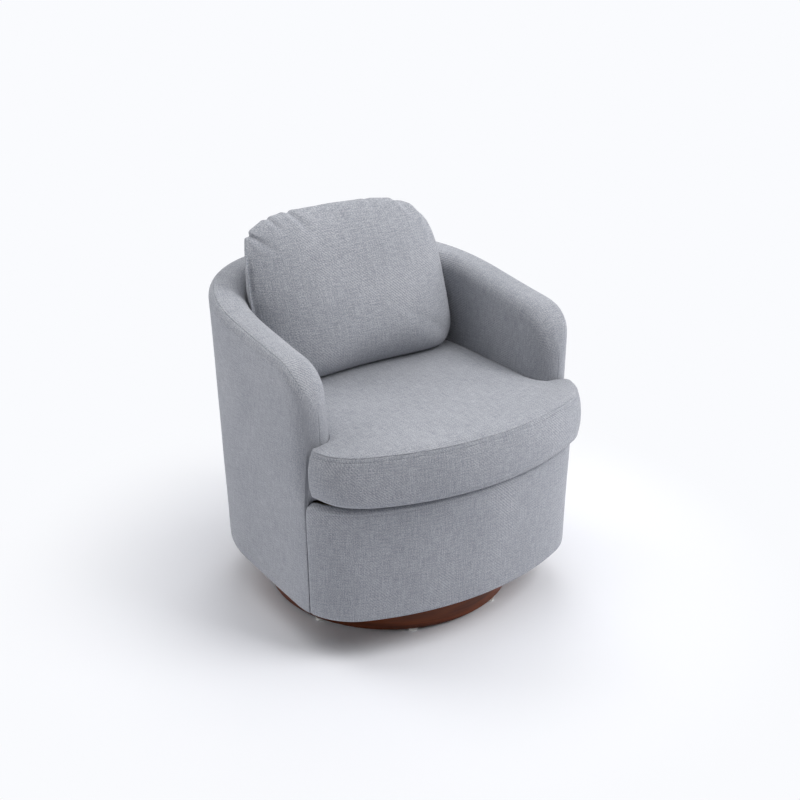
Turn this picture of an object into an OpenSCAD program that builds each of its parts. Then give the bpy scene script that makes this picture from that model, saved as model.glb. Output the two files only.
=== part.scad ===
// Swivel barrel chair: a padded tub on a round wooden plinth, with a loose seat cushion and back pillow.
// Z = 0 is the floor, the Z axis is the swivel axis, and the chair faces -Y.

/* [Body plan] */
// Half width of the body's underside at its widest line
body_half_w = 330; // [315:1:345]
// Distance of the widest line behind the swivel axis
widest_behind = 36; // [21:1:51]
// Distance from the swivel axis to the front of the body's underside
body_front = 338; // [326:1:350]
// Distance from the swivel axis to the back of the body's underside
body_back = 327; // [315:1:341]
// Radius of the shallow curve across the front
front_curve_r = 629; // [580:1:700]
// Radius of the two front corners of the body
front_corner_r = 139; // [127:1:150]
// Squareness of the back in plan, where 2 is an ellipse
back_squareness = 2.5; // [2.2:0.1:2.8]

/* [Padded wall] */
// Height of the body's underside above the floor
underside_h = 94; // [90:1:105]
// Height of the rim at the front of the arms
arm_rim_h = 620; // [600:1:640]
// Height of the rim at the middle of the back
back_rim_h = 683; // [665:1:705]
// How late the rim rises towards the back, where 1 is an even slope
rim_rise_power = 1.2; // [1:0.1:1.5]
// Outward lean of the arms' outer faces, in degrees
arm_lean = 1.1; // [0.5:0.1:3]
// Backward lean of the back's outer face, in degrees
back_lean = 4.2; // [2:0.1:6]
// Outward lean of the front apron, in degrees
apron_lean = 1.1; // [0.5:0.1:3]
// Thickness of the padded wall at the seat deck
wall_seat_t = 96; // [90:1:104]
// Thickness of the padded wall at its rim
wall_rim_t = 76; // [72:1:84]
// Radius of the rim's outer edge
rim_outer_r = 22; // [16:1:26]
// Radius of the rim's inner edge
rim_inner_r = 36; // [28:1:40]
// Thickness of the foam on the inside of the wall
pad_t = 40; // [34:1:44]
// Thickness of the foam over the top rail
rim_pad_t = 30; // [26:1:34]
// Thickness of the fabric-covered outer panel
panel_t = 6; // [4:0.5:8]

/* [Arm noses] */
// Distance from the swivel axis forward to where the noses start to round
nose_start = 157; // [151:1:163]
// Forward length of a nose's rounding
nose_l = 51; // [45:1:57]
// Height over which the rim drops round a nose
nose_drop = 100; // [85:1:115]
// Distance from the swivel axis forward to where the rim starts to drop
drop_start = 122; // [112:1:132]
// How far the outer side of a nose stands ahead of its inner side, per unit of thickness
nose_skew_share = 0.1; // [0:0.01:0.3]
// Distance from the swivel axis forward to the side seams of the apron
apron_seam = 200; // [195:1:203]

/* [Apron and deck] */
// Height of the seat deck and of the apron's top above the floor
deck_h = 349; // [338:1:358]
// Thickness of the padded apron
apron_t = 25; // [20:1:28]
// Radius of the apron's top edge
apron_top_r = 14; // [10:1:18]
// Radius of the body's lower edge
lower_edge_r = 7; // [5:1:9]
// Thickness of the board behind the apron
apron_board_t = 8; // [6:1:10]
// Thickness of the felt over the springs
felt_t = 6.5; // [5:0.5:8]

/* [Seat cushion] */
// Height of the seat cushion's top seam above the floor
seat_seam_h = 461; // [448:1:472]
// Height of the seat cushion's bottom seam above the deck
bottom_seam_rise = 14; // [10:1:18]
// Height of the crown above the top seam
seat_crown = 12; // [8:1:20]
// How far the seat cushion's ears stand out past the body's underside at each side
cushion_side_reach = 1; // [0:1:8]
// How far the cushion's top seam stands out past the body's underside at the front
cushion_front_reach = 15; // [10:1:24]
// How far the bottom seam stands ahead of the top seam at the front
cushion_toe = 10; // [5:1:13]
// Radius of the cushion's front corners
cushion_corner_r = 134; // [122:1:146]
// Bulge of the cushion's front band
cushion_bulge = 8; // [5:1:11]
// Height of the stitched flange on the top seam
flange_h = 3; // [2:0.5:4]

/* [Back pillow] */
// Distance in from the widest part of the body's underside to the side of the back pillow
pillow_side_inset = 87; // [80:1:100]
// Height of the back pillow from its lower edge to its top
pillow_h = 334; // [318:1:352]
// Thickness of the back pillow at its middle
pillow_t = 172; // [150:1:188]
// Narrowing of the pillow from its middle to its top, as a share of its width
pillow_taper_share = 0.03; // [0:0.01:0.08]
// Lean of the back pillow from upright, in degrees
pillow_lean = 17; // [14:0.5:20]
// How far the pillow's sides come forward of its middle
pillow_bend = 20; // [10:1:35]
// Distance behind the swivel axis of the middle of the pillow
pillow_back = 171; // [161:1:181]
// Depth of the puckers along the pillow's top edge
pucker = 3; // [0:0.5:5]

/* [Frame] */
// Thickness of the plywood bottom board
bottom_board_t = 18; // [15:1:21]
// Thickness of the plywood seat frame
seat_frame_t = 22; // [18:1:25]
// Width of the seat frame at the sides and back
seat_frame_w = 106; // [100:1:115]
// Thickness of the bent top rail and of the upper posts
rail_t = 20; // [16:1:21]
// Height of the bent top rail
rail_h = 58; // [45:1:70]
// Width of an upright post
post_w = 42; // [36:1:50]
// Thickness of the posts under the seat
lower_post_t = 25; // [20:1:30]
// Thickness of the board behind the inner foam
liner_t = 4; // [3:0.5:5]
// Width of a cross brace
brace_w = 70; // [60:1:90]
// Thickness of a cross brace
brace_t = 20; // [18:1:25]

/* [Seat springs] */
// Number of zigzag springs
spring_count = 5; // [4:1:6]
// Wire radius of a zigzag spring
spring_wire_r = 1.9; // [1.5:0.1:2.2]
// Width of a zigzag spring
spring_w = 46; // [40:1:52]
// Distance between neighbouring springs
spring_step = 84; // [76:1:88]
// Length of one full wave of a spring
spring_pitch = 54; // [48:1:66]
// Thickness of the spring clips' steel strip
clip_t = 1.5; // [1:0.1:1.8]

/* [Plinth] */
// Outer radius of the round plinth
plinth_r = 270; // [255:1:282]
// Thickness of the plinth's bent plywood wall
plinth_wall = 18; // [15:1:20]
// Height of the plinth's top above the floor
plinth_top_h = 80; // [77:1:83]
// Thickness of the plinth's top board
plinth_board_t = 18; // [15:1:22]
// Radius of the rounding on the plinth's edges
plinth_edge_r = 2; // [1:0.5:3]
// Number of glides, and of glue blocks between them
glide_count = 8; // [6:1:10]
// Radius of a glide
glide_r = 11; // [9:0.5:12]
// Thickness of a glide
glide_h = 6; // [5:0.5:8]

/* [Swivel] */
// Side of each square swivel plate
plate_side = 230; // [210:1:240]
// Thickness of the swivel plates
plate_t = 2.5; // [2:0.1:3]
// Radius of the ring of balls
ball_ring_r = 84; // [76:1:88]
// Radius of a ball
ball_r = 3.2; // [2.8:0.1:3.4]
// Number of balls
ball_count = 24; // [16:1:30]
// Outer radius of the collar that holds the plates together
collar_r = 46; // [40:1:50]
// Distance from the swivel axis to a plate's fastener, along X and along Y
bolt_offset = 99; // [94:1:101]
// Radius of the bolts through the upper plate
bolt_r = 3; // [2.5:0.5:3]
// Radius of the wood screws through the lower plate
screw_r = 2.4; // [2:0.1:2.6]

/* [Hidden] */
$fn = 64;

// Gap between two pieces that rest on each other
rest_gap = 0.3;
// Gap between upholstered pieces at a seam
seam_gap = 0.6;
// Extra length of a cut past the face that it opens
overrun = 1;
// Radial clearance of a fastener in its hole
hole_clearance = 0.15;
// Gap between the wooden frame and the covered panels round it
frame_gap = 2;

fabric_grey = "#aeb4bf";
walnut = "#7a4128";
birch = "#d9bd92";
steel = "#a9adb2";
foam = "#ece3c4";

// Plan of the body, as places at the underside with the inward direction at each
back_depth = body_back - widest_behind;
wall_mid = wall_rim_t / 2 + (wall_seat_t - wall_rim_t) / 4;
straight_steps = 5;
back_steps = 30;
nose_angles = [84, 70, 52, 32, 14];
nose_tip = nose_start + nose_l;

function power(v, e) = sign(v) * pow(abs(v), e);
function unit(v) = v / norm(v);
function flip(list) = [for (i = [len(list) - 1:-1:0]) list[i]];
function mix(a, b, t) = a + (b - a) * t;
function clamp(v, low, high) = min(max(v, low), high);

// A place on the wall's path: [x, y, inward x, inward y, thickness share, lean x, lean y],
// where the lean is how far the wall moves outward per unit of height
function back_place(t) =
    let (x = body_half_w * power(cos(t), 2 / back_squareness),
         depth = back_depth * pow(sin(t), 2 / back_squareness),
         grad = [power(x / body_half_w, back_squareness - 1) / body_half_w,
                 pow(depth / back_depth, back_squareness - 1) / back_depth],
         out = unit(grad),
         lean = tan(arm_lean) * out[0] * out[0] + tan(back_lean) * out[1] * out[1])
    [x, depth + widest_behind, -out[0], -out[1], 1, lean * out[0], lean * out[1]];
function side_place(ahead, skew) =
    [-body_half_w, -ahead - skew * wall_mid, 1, skew, 1, -tan(arm_lean), 0];
function nose_place(angle) =
    [-body_half_w, -nose_start - nose_skew_share * wall_mid - nose_l * sin(angle), 1, nose_skew_share,
     cos(angle), -tan(arm_lean), 0];
function mirrored(p) = [-p[0], p[1], -p[2], p[3], p[4], -p[5], p[6]];

nose_places = [for (a = nose_angles) nose_place(a)];
side_places = [for (i = [0:straight_steps - 1])
    let (u = i / straight_steps)
    side_place(mix(nose_start, -widest_behind, u), nose_skew_share * max(0, 1 - 2 * u))];
back_places = [for (i = [0:back_steps]) back_place(180 - 180 * i / back_steps)];
// The wall from the left nose round the back to the right nose
arm_places = concat(nose_places, side_places);
wall_places = concat(arm_places, back_places, flip([for (p = arm_places) mirrored(p)]));
// The same without the noses, for what the wall carries inside
core_places = concat(side_places, back_places, flip([for (p = side_places) mirrored(p)]));

function rim_h(p) =
    let (share = clamp((p[1] + nose_start) / (body_back + nose_start), 0, 1),
         ahead = clamp((-p[1] - p[3] * wall_mid - drop_start) / (nose_tip - drop_start), 0, 1))
    mix(arm_rim_h, back_rim_h, pow(share, rim_rise_power)) - nose_drop * (1 - sqrt(1 - ahead * ahead));
// Thickness of the wall at height z where the rim is at height h
function wall_t(z, h) = mix(wall_seat_t, wall_rim_t, (z - deck_h) / (h - deck_h));
// A point at a depth into the wall from its outer face, at height z
function wall_point(p, depth, z) =
    let (d = wall_mid + (depth - wall_mid) * p[4], rise = z - underside_h)
    [p[0] + p[2] * d + p[5] * rise, p[1] + p[3] * d + p[6] * rise, z];

// Front of the body, from the right seam round to the left one
function corner_centre_y(front, curve_r, corner_r, cx) =
    -front + curve_r - sqrt(pow(curve_r - corner_r, 2) - cx * cx);
corner_steps = 7;
front_steps = 12;
// The corners start at most this share of their radius behind their centres
corner_start_share = 0.9;
function corner_start(y, centre_y, r) = asin(clamp((y - centre_y) / r, -corner_start_share, 0));
function front_place(centre, r, a) =
    [centre[0] + r * cos(a), centre[1] + r * sin(a), -cos(a), -sin(a), 1,
     tan(apron_lean) * cos(a), tan(apron_lean) * sin(a)];
// Places along a front with given sizes
function front_places(half_w, front, curve_r, corner_r, start_angle) =
    let (cx = half_w - corner_r,
         cy = corner_centre_y(front, curve_r, corner_r, cx),
         turn = atan2(cx, curve_r - front - cy),
         right = [for (i = [0:corner_steps - 1])
             let (a = mix(start_angle, turn - 90, i / corner_steps))
             front_place([cx, cy], corner_r, a)],
         front_arc = [for (i = [0:front_steps])
             let (a = mix(turn - 90, -90 - turn, i / front_steps))
             front_place([0, curve_r - front], curve_r, a)])
    concat(right, front_arc, flip([for (p = right) mirrored(p)]));
body_corner_y = corner_centre_y(body_front, front_curve_r, front_corner_r, body_half_w - front_corner_r);
body_front_places = front_places(body_half_w, body_front, front_curve_r, front_corner_r,
                                 corner_start(-apron_seam - 2 * seam_gap, body_corner_y, front_corner_r));
apron_end = [body_half_w, -apron_seam - seam_gap, -1, 0, 1, tan(apron_lean), 0];
apron_places = body_corner_y > -apron_seam ? body_front_places
    : concat([apron_end], body_front_places, [mirrored(apron_end)]);
// The place on the left side of the body's outline at a given y
function outline_place(y) =
    y > body_corner_y ? [-body_half_w, y, 1, 0, 1, -tan(arm_lean), 0]
    : mirrored(front_place([body_half_w - front_corner_r, body_corner_y], front_corner_r,
                           corner_start(y, body_corner_y, front_corner_r)));
// The outer y of a place on a nose, and the outline's place below it
function outer_y(p) = p[1] + p[3] * wall_mid * (1 - p[4]);
function below(p) = p[4] < 1 ? outline_place(outer_y(p)) : p;

// A closed outline at height z, at one depth along the wall and another behind the apron
function body_outline(wall_depth, front_depth, z) = concat(
    [for (p = core_places) if (-p[1] < apron_seam) flat(wall_point(p, wall_depth, z))],
    [for (p = apron_places) flat(wall_point(p, front_depth, z))]);
// A closed outline with a straight front edge
function opening_outline(wall_depth, ahead, z) = concat(
    [flat(wall_point(side_place(ahead, 0), wall_depth, z))],
    [for (p = back_places) flat(wall_point(p, wall_depth, z))],
    [flat(wall_point(mirrored(side_place(ahead, 0)), wall_depth, z))]);
function flat(p) = [p[0], p[1]];

// A solid through rings of points; the end rings are flat caps, or fans when domed
module loft(rings, domed = false) {
    per = len(rings[0]);
    last = len(rings) - 1;
    ring_points = [for (r = rings) each r];
    sides = [for (i = [0:last - 1], j = [0:per - 1])
        let (a = i * per + j, b = i * per + (j + 1) % per)
        each [[a, b, b + per], [a, b + per, a + per]]];
    first_mean = domed ? mean(rings[0]) : rings[0][0];
    last_mean = domed ? mean(rings[last]) : rings[last][0];
    top = len(ring_points);
    ends = domed
        ? [for (j = [0:per - 1]) each [
              [top, (j + 1) % per, j],
              [top + 1, last * per + j, last * per + (j + 1) % per]]]
        : [[for (j = [per - 1:-1:0]) j], [for (j = [0:per - 1]) last * per + j]];
    polyhedron(domed ? concat(ring_points, [first_mean, last_mean]) : ring_points, concat(sides, ends));
}
function mean(points) = [for (k = [0:2]) sum([for (p = points) p[k]]) / len(points)];
function sum(v) = v * [for (x = v) 1];

// The two sides of a straight block in the wall, each as a place
function block_sides(place, width) =
    let (along = [-place[3], place[2]] * width / 2)
    [for (s = [-1, 1]) [place[0] + s * along[0], place[1] + s * along[1],
                        place[2], place[3], 1, place[5], place[6]]];
module wall_block(place, width, depth_0, depth_1, z0, z1)
    loft([for (e = block_sides(place, width))
        [wall_point(e, depth_0, z0), wall_point(e, depth_1, z0),
         wall_point(e, depth_1, z1), wall_point(e, depth_0, z1)]]);

// Plinth
glide_ring_r = plinth_r - plinth_wall / 2 - 2 * hole_clearance;
glide_pin_r = glide_r / 7;
glide_pin_l = 2.5 * glide_h;
board_r = plinth_r - plinth_wall - rest_gap;
board_z = plinth_top_h - plinth_board_t;
block_w = plinth_wall * 2.4;
block_t = plinth_wall * 1.2;
block_h = board_z - glide_h - glide_pin_l;
// A block's outer corners touch the inside of the wall
block_x = sqrt(board_r * board_r - block_w * block_w / 4) - block_t;
hub_hole_r = collar_r * 1.3;

module base_drum() color(walnut)
    difference() {
        rotate_extrude($fn = 160)
            polygon(concat(
                [[plinth_r - plinth_wall, glide_h + rest_gap]],
                corner_arc(plinth_r, glide_h + rest_gap, plinth_edge_r, -90, 0),
                corner_arc(plinth_r, plinth_top_h, plinth_edge_r, 0, 90),
                [[plinth_r - plinth_wall, plinth_top_h]]));
        at_glides() translate([0, 0, glide_h - overrun])
            cylinder(r = glide_pin_r + hole_clearance, h = glide_pin_l + overrun + rest_gap);
    }
// Points of a rounding tangent to the outer radius r and the level z
function corner_arc(r, z, round_r, from, to) =
    [for (i = [0:4]) let (a = mix(from, to, i / 4), s = from < 0 ? 1 : -1)
        [r - round_r + round_r * cos(a), z + s * round_r + round_r * sin(a)]];
module at_glides()
    for (i = [0:glide_count - 1])
        rotate((i + 0.5) * 360 / glide_count) translate([glide_ring_r, 0, 0]) children();

module base_top_board() color(birch)
    difference() {
        translate([0, 0, board_z]) cylinder(r = board_r, h = plinth_board_t, $fn = 160);
        translate([0, 0, board_z - overrun]) cylinder(r = hub_hole_r, h = plinth_board_t + 2 * overrun);
        at_corners() translate([0, 0, board_z - overrun])
            cylinder(r = screw_r + hole_clearance, h = plinth_board_t + 2 * overrun);
    }
module at_corners()
    for (x = [-1, 1], y = [-1, 1]) translate([x * bolt_offset, y * bolt_offset, 0]) children();

module base_glue_blocks() color(birch)
    for (i = [0:glide_count - 1]) rotate(i * 360 / glide_count)
        translate([block_x, -block_w / 2, board_z - block_h - rest_gap])
            cube([block_t, block_w, block_h]);

module glides() color("white")
    at_glides() {
        rotate_extrude()
            polygon([[0, 0], [glide_r * 0.86, 0], [glide_r, glide_h * 0.4],
                     [glide_r, glide_h], [0, glide_h]]);
        translate([0, 0, glide_h]) cylinder(r = glide_pin_r, h = glide_pin_l);
    }

// Swivel bearing between the plinth's top and the bottom board
dust_cover_h = 2;
swivel_top = underside_h + dust_cover_h;
bottom_top = swivel_top + bottom_board_t;
lower_plate_z = plinth_top_h;
upper_plate_z = swivel_top - plate_t;
ball_z = (lower_plate_z + plate_t + upper_plate_z) / 2;
race_w = ball_r * 4;
race_gap = ball_r * 0.62;
groove_r = ball_r + hole_clearance;
collar_wall = plate_t;
lip_w = collar_r * 0.16;
plate_hole_r = collar_r + collar_wall * 0.6;

module plate_outline(side) {
    round_r = side * 0.06;
    half = side / 2 - round_r;
    union() {
        square([side, 2 * half], center = true);
        square([2 * half, side], center = true);
        for (x = [-1, 1], y = [-1, 1]) translate([x * half, y * half]) circle(r = round_r);
    }
}
module race(z0, z1)
    rotate_extrude($fn = 96)
        difference() {
            translate([ball_ring_r - race_w / 2, z0]) square([race_w, z1 - z0]);
            translate([ball_ring_r, ball_z]) circle(r = groove_r);
        }
module swivel_lower_plate() color(steel)
    difference() {
        union() {
            translate([0, 0, lower_plate_z]) linear_extrude(plate_t) plate_outline(plate_side);
            race(lower_plate_z + plate_t, ball_z - race_gap);
        }
        translate([0, 0, lower_plate_z - overrun]) cylinder(r = plate_hole_r, h = plate_t + 2 * overrun);
        at_corners() translate([0, 0, lower_plate_z - overrun])
            cylinder(r = screw_r + hole_clearance, h = plate_t + 2 * overrun);
    }
module swivel_upper_plate() color(steel)
    difference() {
        union() {
            translate([0, 0, upper_plate_z]) linear_extrude(plate_t) plate_outline(plate_side);
            race(ball_z + race_gap, upper_plate_z);
        }
        translate([0, 0, upper_plate_z - overrun])
            cylinder(r = collar_r - collar_wall, h = plate_t + 2 * overrun);
        at_corners() translate([0, 0, upper_plate_z - overrun])
            cylinder(r = bolt_r + hole_clearance, h = plate_t + 2 * overrun);
    }
module swivel_balls() color("silver")
    at_balls() translate([0, 0, ball_z]) sphere(r = ball_r);
module at_balls()
    for (i = [0:ball_count - 1]) rotate(i * 360 / ball_count) translate([ball_ring_r, 0, 0]) children();
module ball_cage() color("#5a6b4a")
    difference() {
        translate([0, 0, ball_z - race_gap / 2])
            rotate_extrude($fn = 96) translate([ball_ring_r - race_w / 2, 0]) square([race_w, race_gap]);
        at_balls() translate([0, 0, ball_z - race_gap])
            cylinder(r = ball_r + hole_clearance, h = 2 * race_gap);
    }
// The collar hangs from the upper plate and its lip catches under the lower one
module swivel_collar() color(steel)
    rotate_extrude($fn = 96)
        polygon([[collar_r - collar_wall, upper_plate_z - rest_gap], [collar_r, upper_plate_z - rest_gap],
                 [collar_r, lower_plate_z - rest_gap], [collar_r + lip_w, lower_plate_z - rest_gap],
                 [collar_r + lip_w, lower_plate_z - rest_gap - collar_wall],
                 [collar_r - collar_wall, lower_plate_z - rest_gap - collar_wall]]);
module lower_plate_screws() color("silver")
    at_corners() {
        translate([0, 0, lower_plate_z + plate_t])
            cylinder(r1 = screw_r * 2.1, r2 = screw_r * 1.6, h = screw_r * 0.9);
        translate([0, 0, board_z + plate_t]) cylinder(r = screw_r, h = lower_plate_z - board_z);
    }
bolt_head_h = bolt_r;
nut_h = bolt_r * 1.7;
washer_t = bolt_r / 2;
bolt_top = bottom_top + brace_t + washer_t + nut_h + bolt_r;
module upper_plate_bolts() color("silver")
    at_corners() {
        translate([0, 0, upper_plate_z - bolt_head_h]) cylinder(r = bolt_r * 1.8, h = bolt_head_h);
        translate([0, 0, upper_plate_z]) cylinder(r = bolt_r, h = bolt_top - upper_plate_z);
    }
module upper_plate_nuts() color("silver")
    at_corners() translate([0, 0, bottom_top + brace_t])
        difference() {
            union() {
                cylinder(r = bolt_r * 2.4, h = washer_t);
                translate([0, 0, washer_t]) cylinder(r = bolt_r * 1.9, h = nut_h, $fn = 6);
            }
            translate([0, 0, -overrun])
                cylinder(r = bolt_r + hole_clearance, h = washer_t + nut_h + 2 * overrun);
        }

// Frame inside the upholstery
frame_depth = panel_t + frame_gap;
front_frame_depth = apron_t + apron_board_t + frame_gap;
frame_top = deck_h - felt_t - 2 * clip_t - 2 * spring_wire_r - 4 * rest_gap;
frame_bottom = frame_top - seat_frame_t;
rail_ahead = drop_start - post_w;
spring_front = body_front * 0.62;
spring_z = frame_top + 2 * rest_gap + clip_t + spring_wire_r;

// Two slots lighten the bottom board
slot_w = body_front / 4;
slot_y = body_front * 0.6;
module bottom_board() color(birch)
    difference() {
        translate([0, 0, swivel_top]) linear_extrude(bottom_board_t)
            polygon(body_outline(frame_depth, front_frame_depth, swivel_top));
        for (s = [-1, 1])
            translate([-body_half_w / 2, s * slot_y - slot_w / 2, swivel_top - overrun])
                cube([body_half_w, slot_w, bottom_board_t + 2 * overrun]);
        at_corners() translate([0, 0, swivel_top - overrun])
            cylinder(r = bolt_r + hole_clearance, h = bottom_board_t + 2 * overrun);
        translate([0, 0, swivel_top - overrun]) cylinder(r = collar_r, h = bottom_board_t + 2 * overrun);
    }
brace_l = 2 * body_half_w * 0.8;
module cross_braces() color(birch)
    for (s = [-1, 1]) difference() {
        translate([-brace_l / 2, s * bolt_offset - brace_w / 2, bottom_top])
            cube([brace_l, brace_w, brace_t]);
        at_corners() translate([0, 0, bottom_top - overrun])
            cylinder(r = bolt_r + hole_clearance, h = brace_t + 2 * overrun);
    }
lower_post_angles = [178, 140, 105, 75, 40, 2];
module lower_posts() color(birch) {
    for (a = lower_post_angles)
        wall_block(back_place(a), post_w, frame_depth + panel_t, frame_depth + panel_t + lower_post_t,
                   bottom_top + rest_gap, frame_bottom - rest_gap);
    for (s = [-1, 1])
        translate([s * body_half_w * 0.5 - post_w / 2, -spring_front - lower_post_t, bottom_top + rest_gap])
            cube([post_w, lower_post_t, frame_bottom - bottom_top - 2 * rest_gap]);
}
module seat_frame() color(birch)
    difference() {
        translate([0, 0, frame_bottom]) linear_extrude(seat_frame_t)
            polygon(body_outline(frame_depth, front_frame_depth, frame_bottom));
        translate([0, 0, frame_bottom - overrun]) linear_extrude(seat_frame_t + 2 * overrun)
            polygon(opening_outline(seat_frame_w, spring_front, frame_top));
    }
upper_post_angles = [168, 140, 112, 68, 40, 12];
rail_depth = panel_t + 5 * rest_gap;
rail_top_drop = rim_pad_t + rest_gap;
// The posts are flat where the wall curves, so they stand deeper than the rail
post_depth = rail_depth + frame_gap;
front_post = side_place(rail_ahead, 0);
upper_post_places = concat([for (a = upper_post_angles) back_place(a)], [front_post, mirrored(front_post)]);
module upper_posts() color(birch)
    for (p = upper_post_places) {
        rim_over_post = min([for (e = block_sides(p, post_w)) rim_h(e)]);
        wall_block(p, post_w, post_depth, post_depth + rail_t, frame_top + rest_gap,
                   rim_over_post - rail_top_drop - rail_h - rest_gap);
    }
rail_side = concat([side_place(rail_ahead + post_w / 2, 0)],
                   [for (p = side_places) if (-p[1] < rail_ahead) p]);
rail_places = concat(rail_side, back_places, flip([for (p = rail_side) mirrored(p)]));
module top_rail() color(birch)
    loft([for (p = flip(rail_places)) let (top = rim_h(p) - rail_top_drop)
        [for (c = [[rail_depth, top - rail_h], [rail_depth, top],
                   [rail_depth + rail_t, top], [rail_depth + rail_t, top - rail_h]])
            wall_point(p, c[0], c[1])]]);
module inner_liner_board() color("#b08d57")
    loft([for (p = flip(rail_places)) let (h = rim_h(p), top = h - rail_top_drop - rail_h / 2)
        [for (c = [[liner_t, frame_top + rest_gap], [liner_t, top], [0, top], [0, frame_top + rest_gap]])
            wall_point(p, wall_t(max(c[1], deck_h), h) - pad_t - rest_gap - c[0], c[1])]]);

// Zigzag seat springs, each one wire swept along waves from the front rail to the back of the frame
spring_ring_steps = 8;
spring_sides = 6;
path_step_share = 0.001;
spring_xs = [for (i = [0:spring_count - 1]) (i - (spring_count - 1) / 2) * spring_step];
spring_overlap = spring_w / 4;
function frame_inner_y(x) =
    (back_depth - seat_frame_w) * pow(1 - pow(abs(x) / (body_half_w - seat_frame_w), back_squareness),
                                      1 / back_squareness) + widest_behind;
function spring_end(x) = frame_inner_y(min(abs(x) + spring_w / 2, body_half_w - seat_frame_w - spring_w / 8));
function spring_path(x, u) =
    let (front = -spring_front - spring_overlap, back = spring_end(x) + spring_overlap,
         waves = round((back - front) / spring_pitch), a = 360 * waves * u)
    [x + spring_w / 2 * sin(a), mix(front, back, u) + spring_w / 12 * sin(2 * a), spring_z];
function spring_ring(x, u) =
    let (along = unit(spring_path(x, u + path_step_share) - spring_path(x, u - path_step_share)),
         side = [along[1], -along[0], 0])
    [for (j = [0:spring_sides - 1]) let (a = 360 * j / spring_sides)
        spring_path(x, u) + spring_wire_r * (side * cos(a) + [0, 0, sin(a)])];
module seat_springs() color(steel)
    for (x = spring_xs) {
        waves = round((spring_end(x) + spring_front + 2 * spring_overlap) / spring_pitch);
        steps = spring_ring_steps * waves;
        loft([for (k = [0:steps]) spring_ring(x, k / steps)]);
    }
clip_hook_l = spring_w / 8;
clip_tail_l = spring_w / 3;
clip_w = spring_w / 2;
clip_web = spring_wire_r + seam_gap;
clip_h = 2 * clip_t + 2 * spring_wire_r + 2 * rest_gap;
// A steel strip folded over the end of a spring, with a tail that is nailed to the frame
module spring_clip()
    translate([-clip_w / 2, 0, 0]) rotate([90, 0, 90]) linear_extrude(clip_w)
        polygon([[-clip_hook_l, 0], [clip_tail_l, 0], [clip_tail_l, clip_t], [clip_web + clip_t, clip_t],
                 [clip_web + clip_t, clip_h], [-clip_hook_l, clip_h], [-clip_hook_l, clip_h - clip_t],
                 [clip_web, clip_h - clip_t], [clip_web, clip_t], [-clip_hook_l, clip_t]]);
module spring_clips() color("silver")
    for (x = spring_xs) {
        translate([x, spring_end(x) + spring_overlap, frame_top + rest_gap]) spring_clip();
        translate([x, -spring_front - spring_overlap, frame_top + rest_gap]) rotate(180) spring_clip();
    }

module deck_felt() color("#3d3d40")
    translate([0, 0, deck_h - felt_t]) linear_extrude(felt_t - rest_gap)
        polygon(body_outline(wall_seat_t - pad_t + liner_t, front_frame_depth, deck_h - felt_t));

// Upholstery
round_steps = 3;
// Above the deck the panel rounds in with the nose; below it, it follows the body's outline
function panel_ring(p, low, foot) =
    let (knee = max(deck_h, low + 2 * lower_edge_r), waist = knee + 2 * bottom_seam_rise,
         seam = rim_h(p) - rim_outer_r - 2 * seam_gap)
    concat([for (z = [seam, waist]) wall_point(p, 0, z)],
           [for (c = [[0, knee], [0, low + lower_edge_r],
                      [lower_edge_r * 0.3, low + lower_edge_r * 0.3], [panel_t, low], [panel_t, knee]])
               wall_point(foot, c[0], c[1])],
           [for (z = [waist, seam]) wall_point(p, panel_t, z)]);
// The angle round the nose at which its outer face passes the apron's seam
nose_reach = norm([nose_l, nose_skew_share * wall_mid]);
seam_angle = asin(clamp((apron_seam - nose_start) / nose_reach, 0, 1))
    - atan2(nose_skew_share * wall_mid, nose_l);
seam_place = seam_angle > 0 ? nose_place(seam_angle)
    : side_place(apron_seam - nose_skew_share * wall_mid, nose_skew_share);
ahead_places = [for (p = arm_places) if (-outer_y(p) > apron_seam + seam_gap) p];
behind_places = [for (p = arm_places) if (-outer_y(p) < apron_seam - seam_gap) p];
function shifted(p, dy) = [p[0], p[1] + dy, p[2], p[3], p[4], p[5], p[6]];
seam_ahead = shifted(seam_place, -seam_gap);
left_panel_rings = concat(
    [for (p = ahead_places) panel_ring(p, deck_h + rest_gap, p)],
    [panel_ring(seam_ahead, deck_h + rest_gap, below(seam_ahead))],
    [for (p = concat([seam_place], behind_places)) panel_ring(p, underside_h, below(p))]);
function mirror_ring(r) = [for (q = r) [-q[0], q[1], q[2]]];
module outer_panel() color(fabric_grey)
    loft(concat(left_panel_rings,
                [for (p = back_places) panel_ring(p, underside_h, p)],
                flip([for (r = left_panel_rings) mirror_ring(r)])));

pad_back_gap = panel_t + seam_gap;
function pad_profile(p) =
    let (h = rim_h(p), in_top = wall_t(h - rim_inner_r, h), low = deck_h + rest_gap,
         mid = mix(low, h - rim_inner_r, 0.5),
         nose = p[1] < -nose_start - nose_skew_share * wall_mid + seam_gap,
         back_low = nose ? pad_back_gap + seam_gap : wall_t(low, h) - pad_t,
         back_top = nose ? pad_back_gap + seam_gap : wall_t(h - rim_pad_t, h) - pad_t)
    concat(
        [[0, h - rim_outer_r]],
        [for (i = [1:round_steps]) let (a = 180 - 90 * i / round_steps)
            [rim_outer_r + rim_outer_r * cos(a), h - rim_outer_r + rim_outer_r * sin(a)]],
        [for (i = [0:round_steps + 1]) let (a = 90 - 90 * i / (round_steps + 1))
            [in_top - rim_inner_r + rim_inner_r * cos(a), h - rim_inner_r + rim_inner_r * sin(a)]],
        [[wall_t(mid, h), mid], [wall_t(low, h), low], [back_low, low], [back_top, h - rim_pad_t],
         [pad_back_gap, h - rim_pad_t], [pad_back_gap, h - rim_outer_r]]);
module inner_pad() color(fabric_grey)
    loft([for (p = flip(wall_places)) [for (c = pad_profile(p)) wall_point(p, c[0], c[1])]]);

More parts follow.
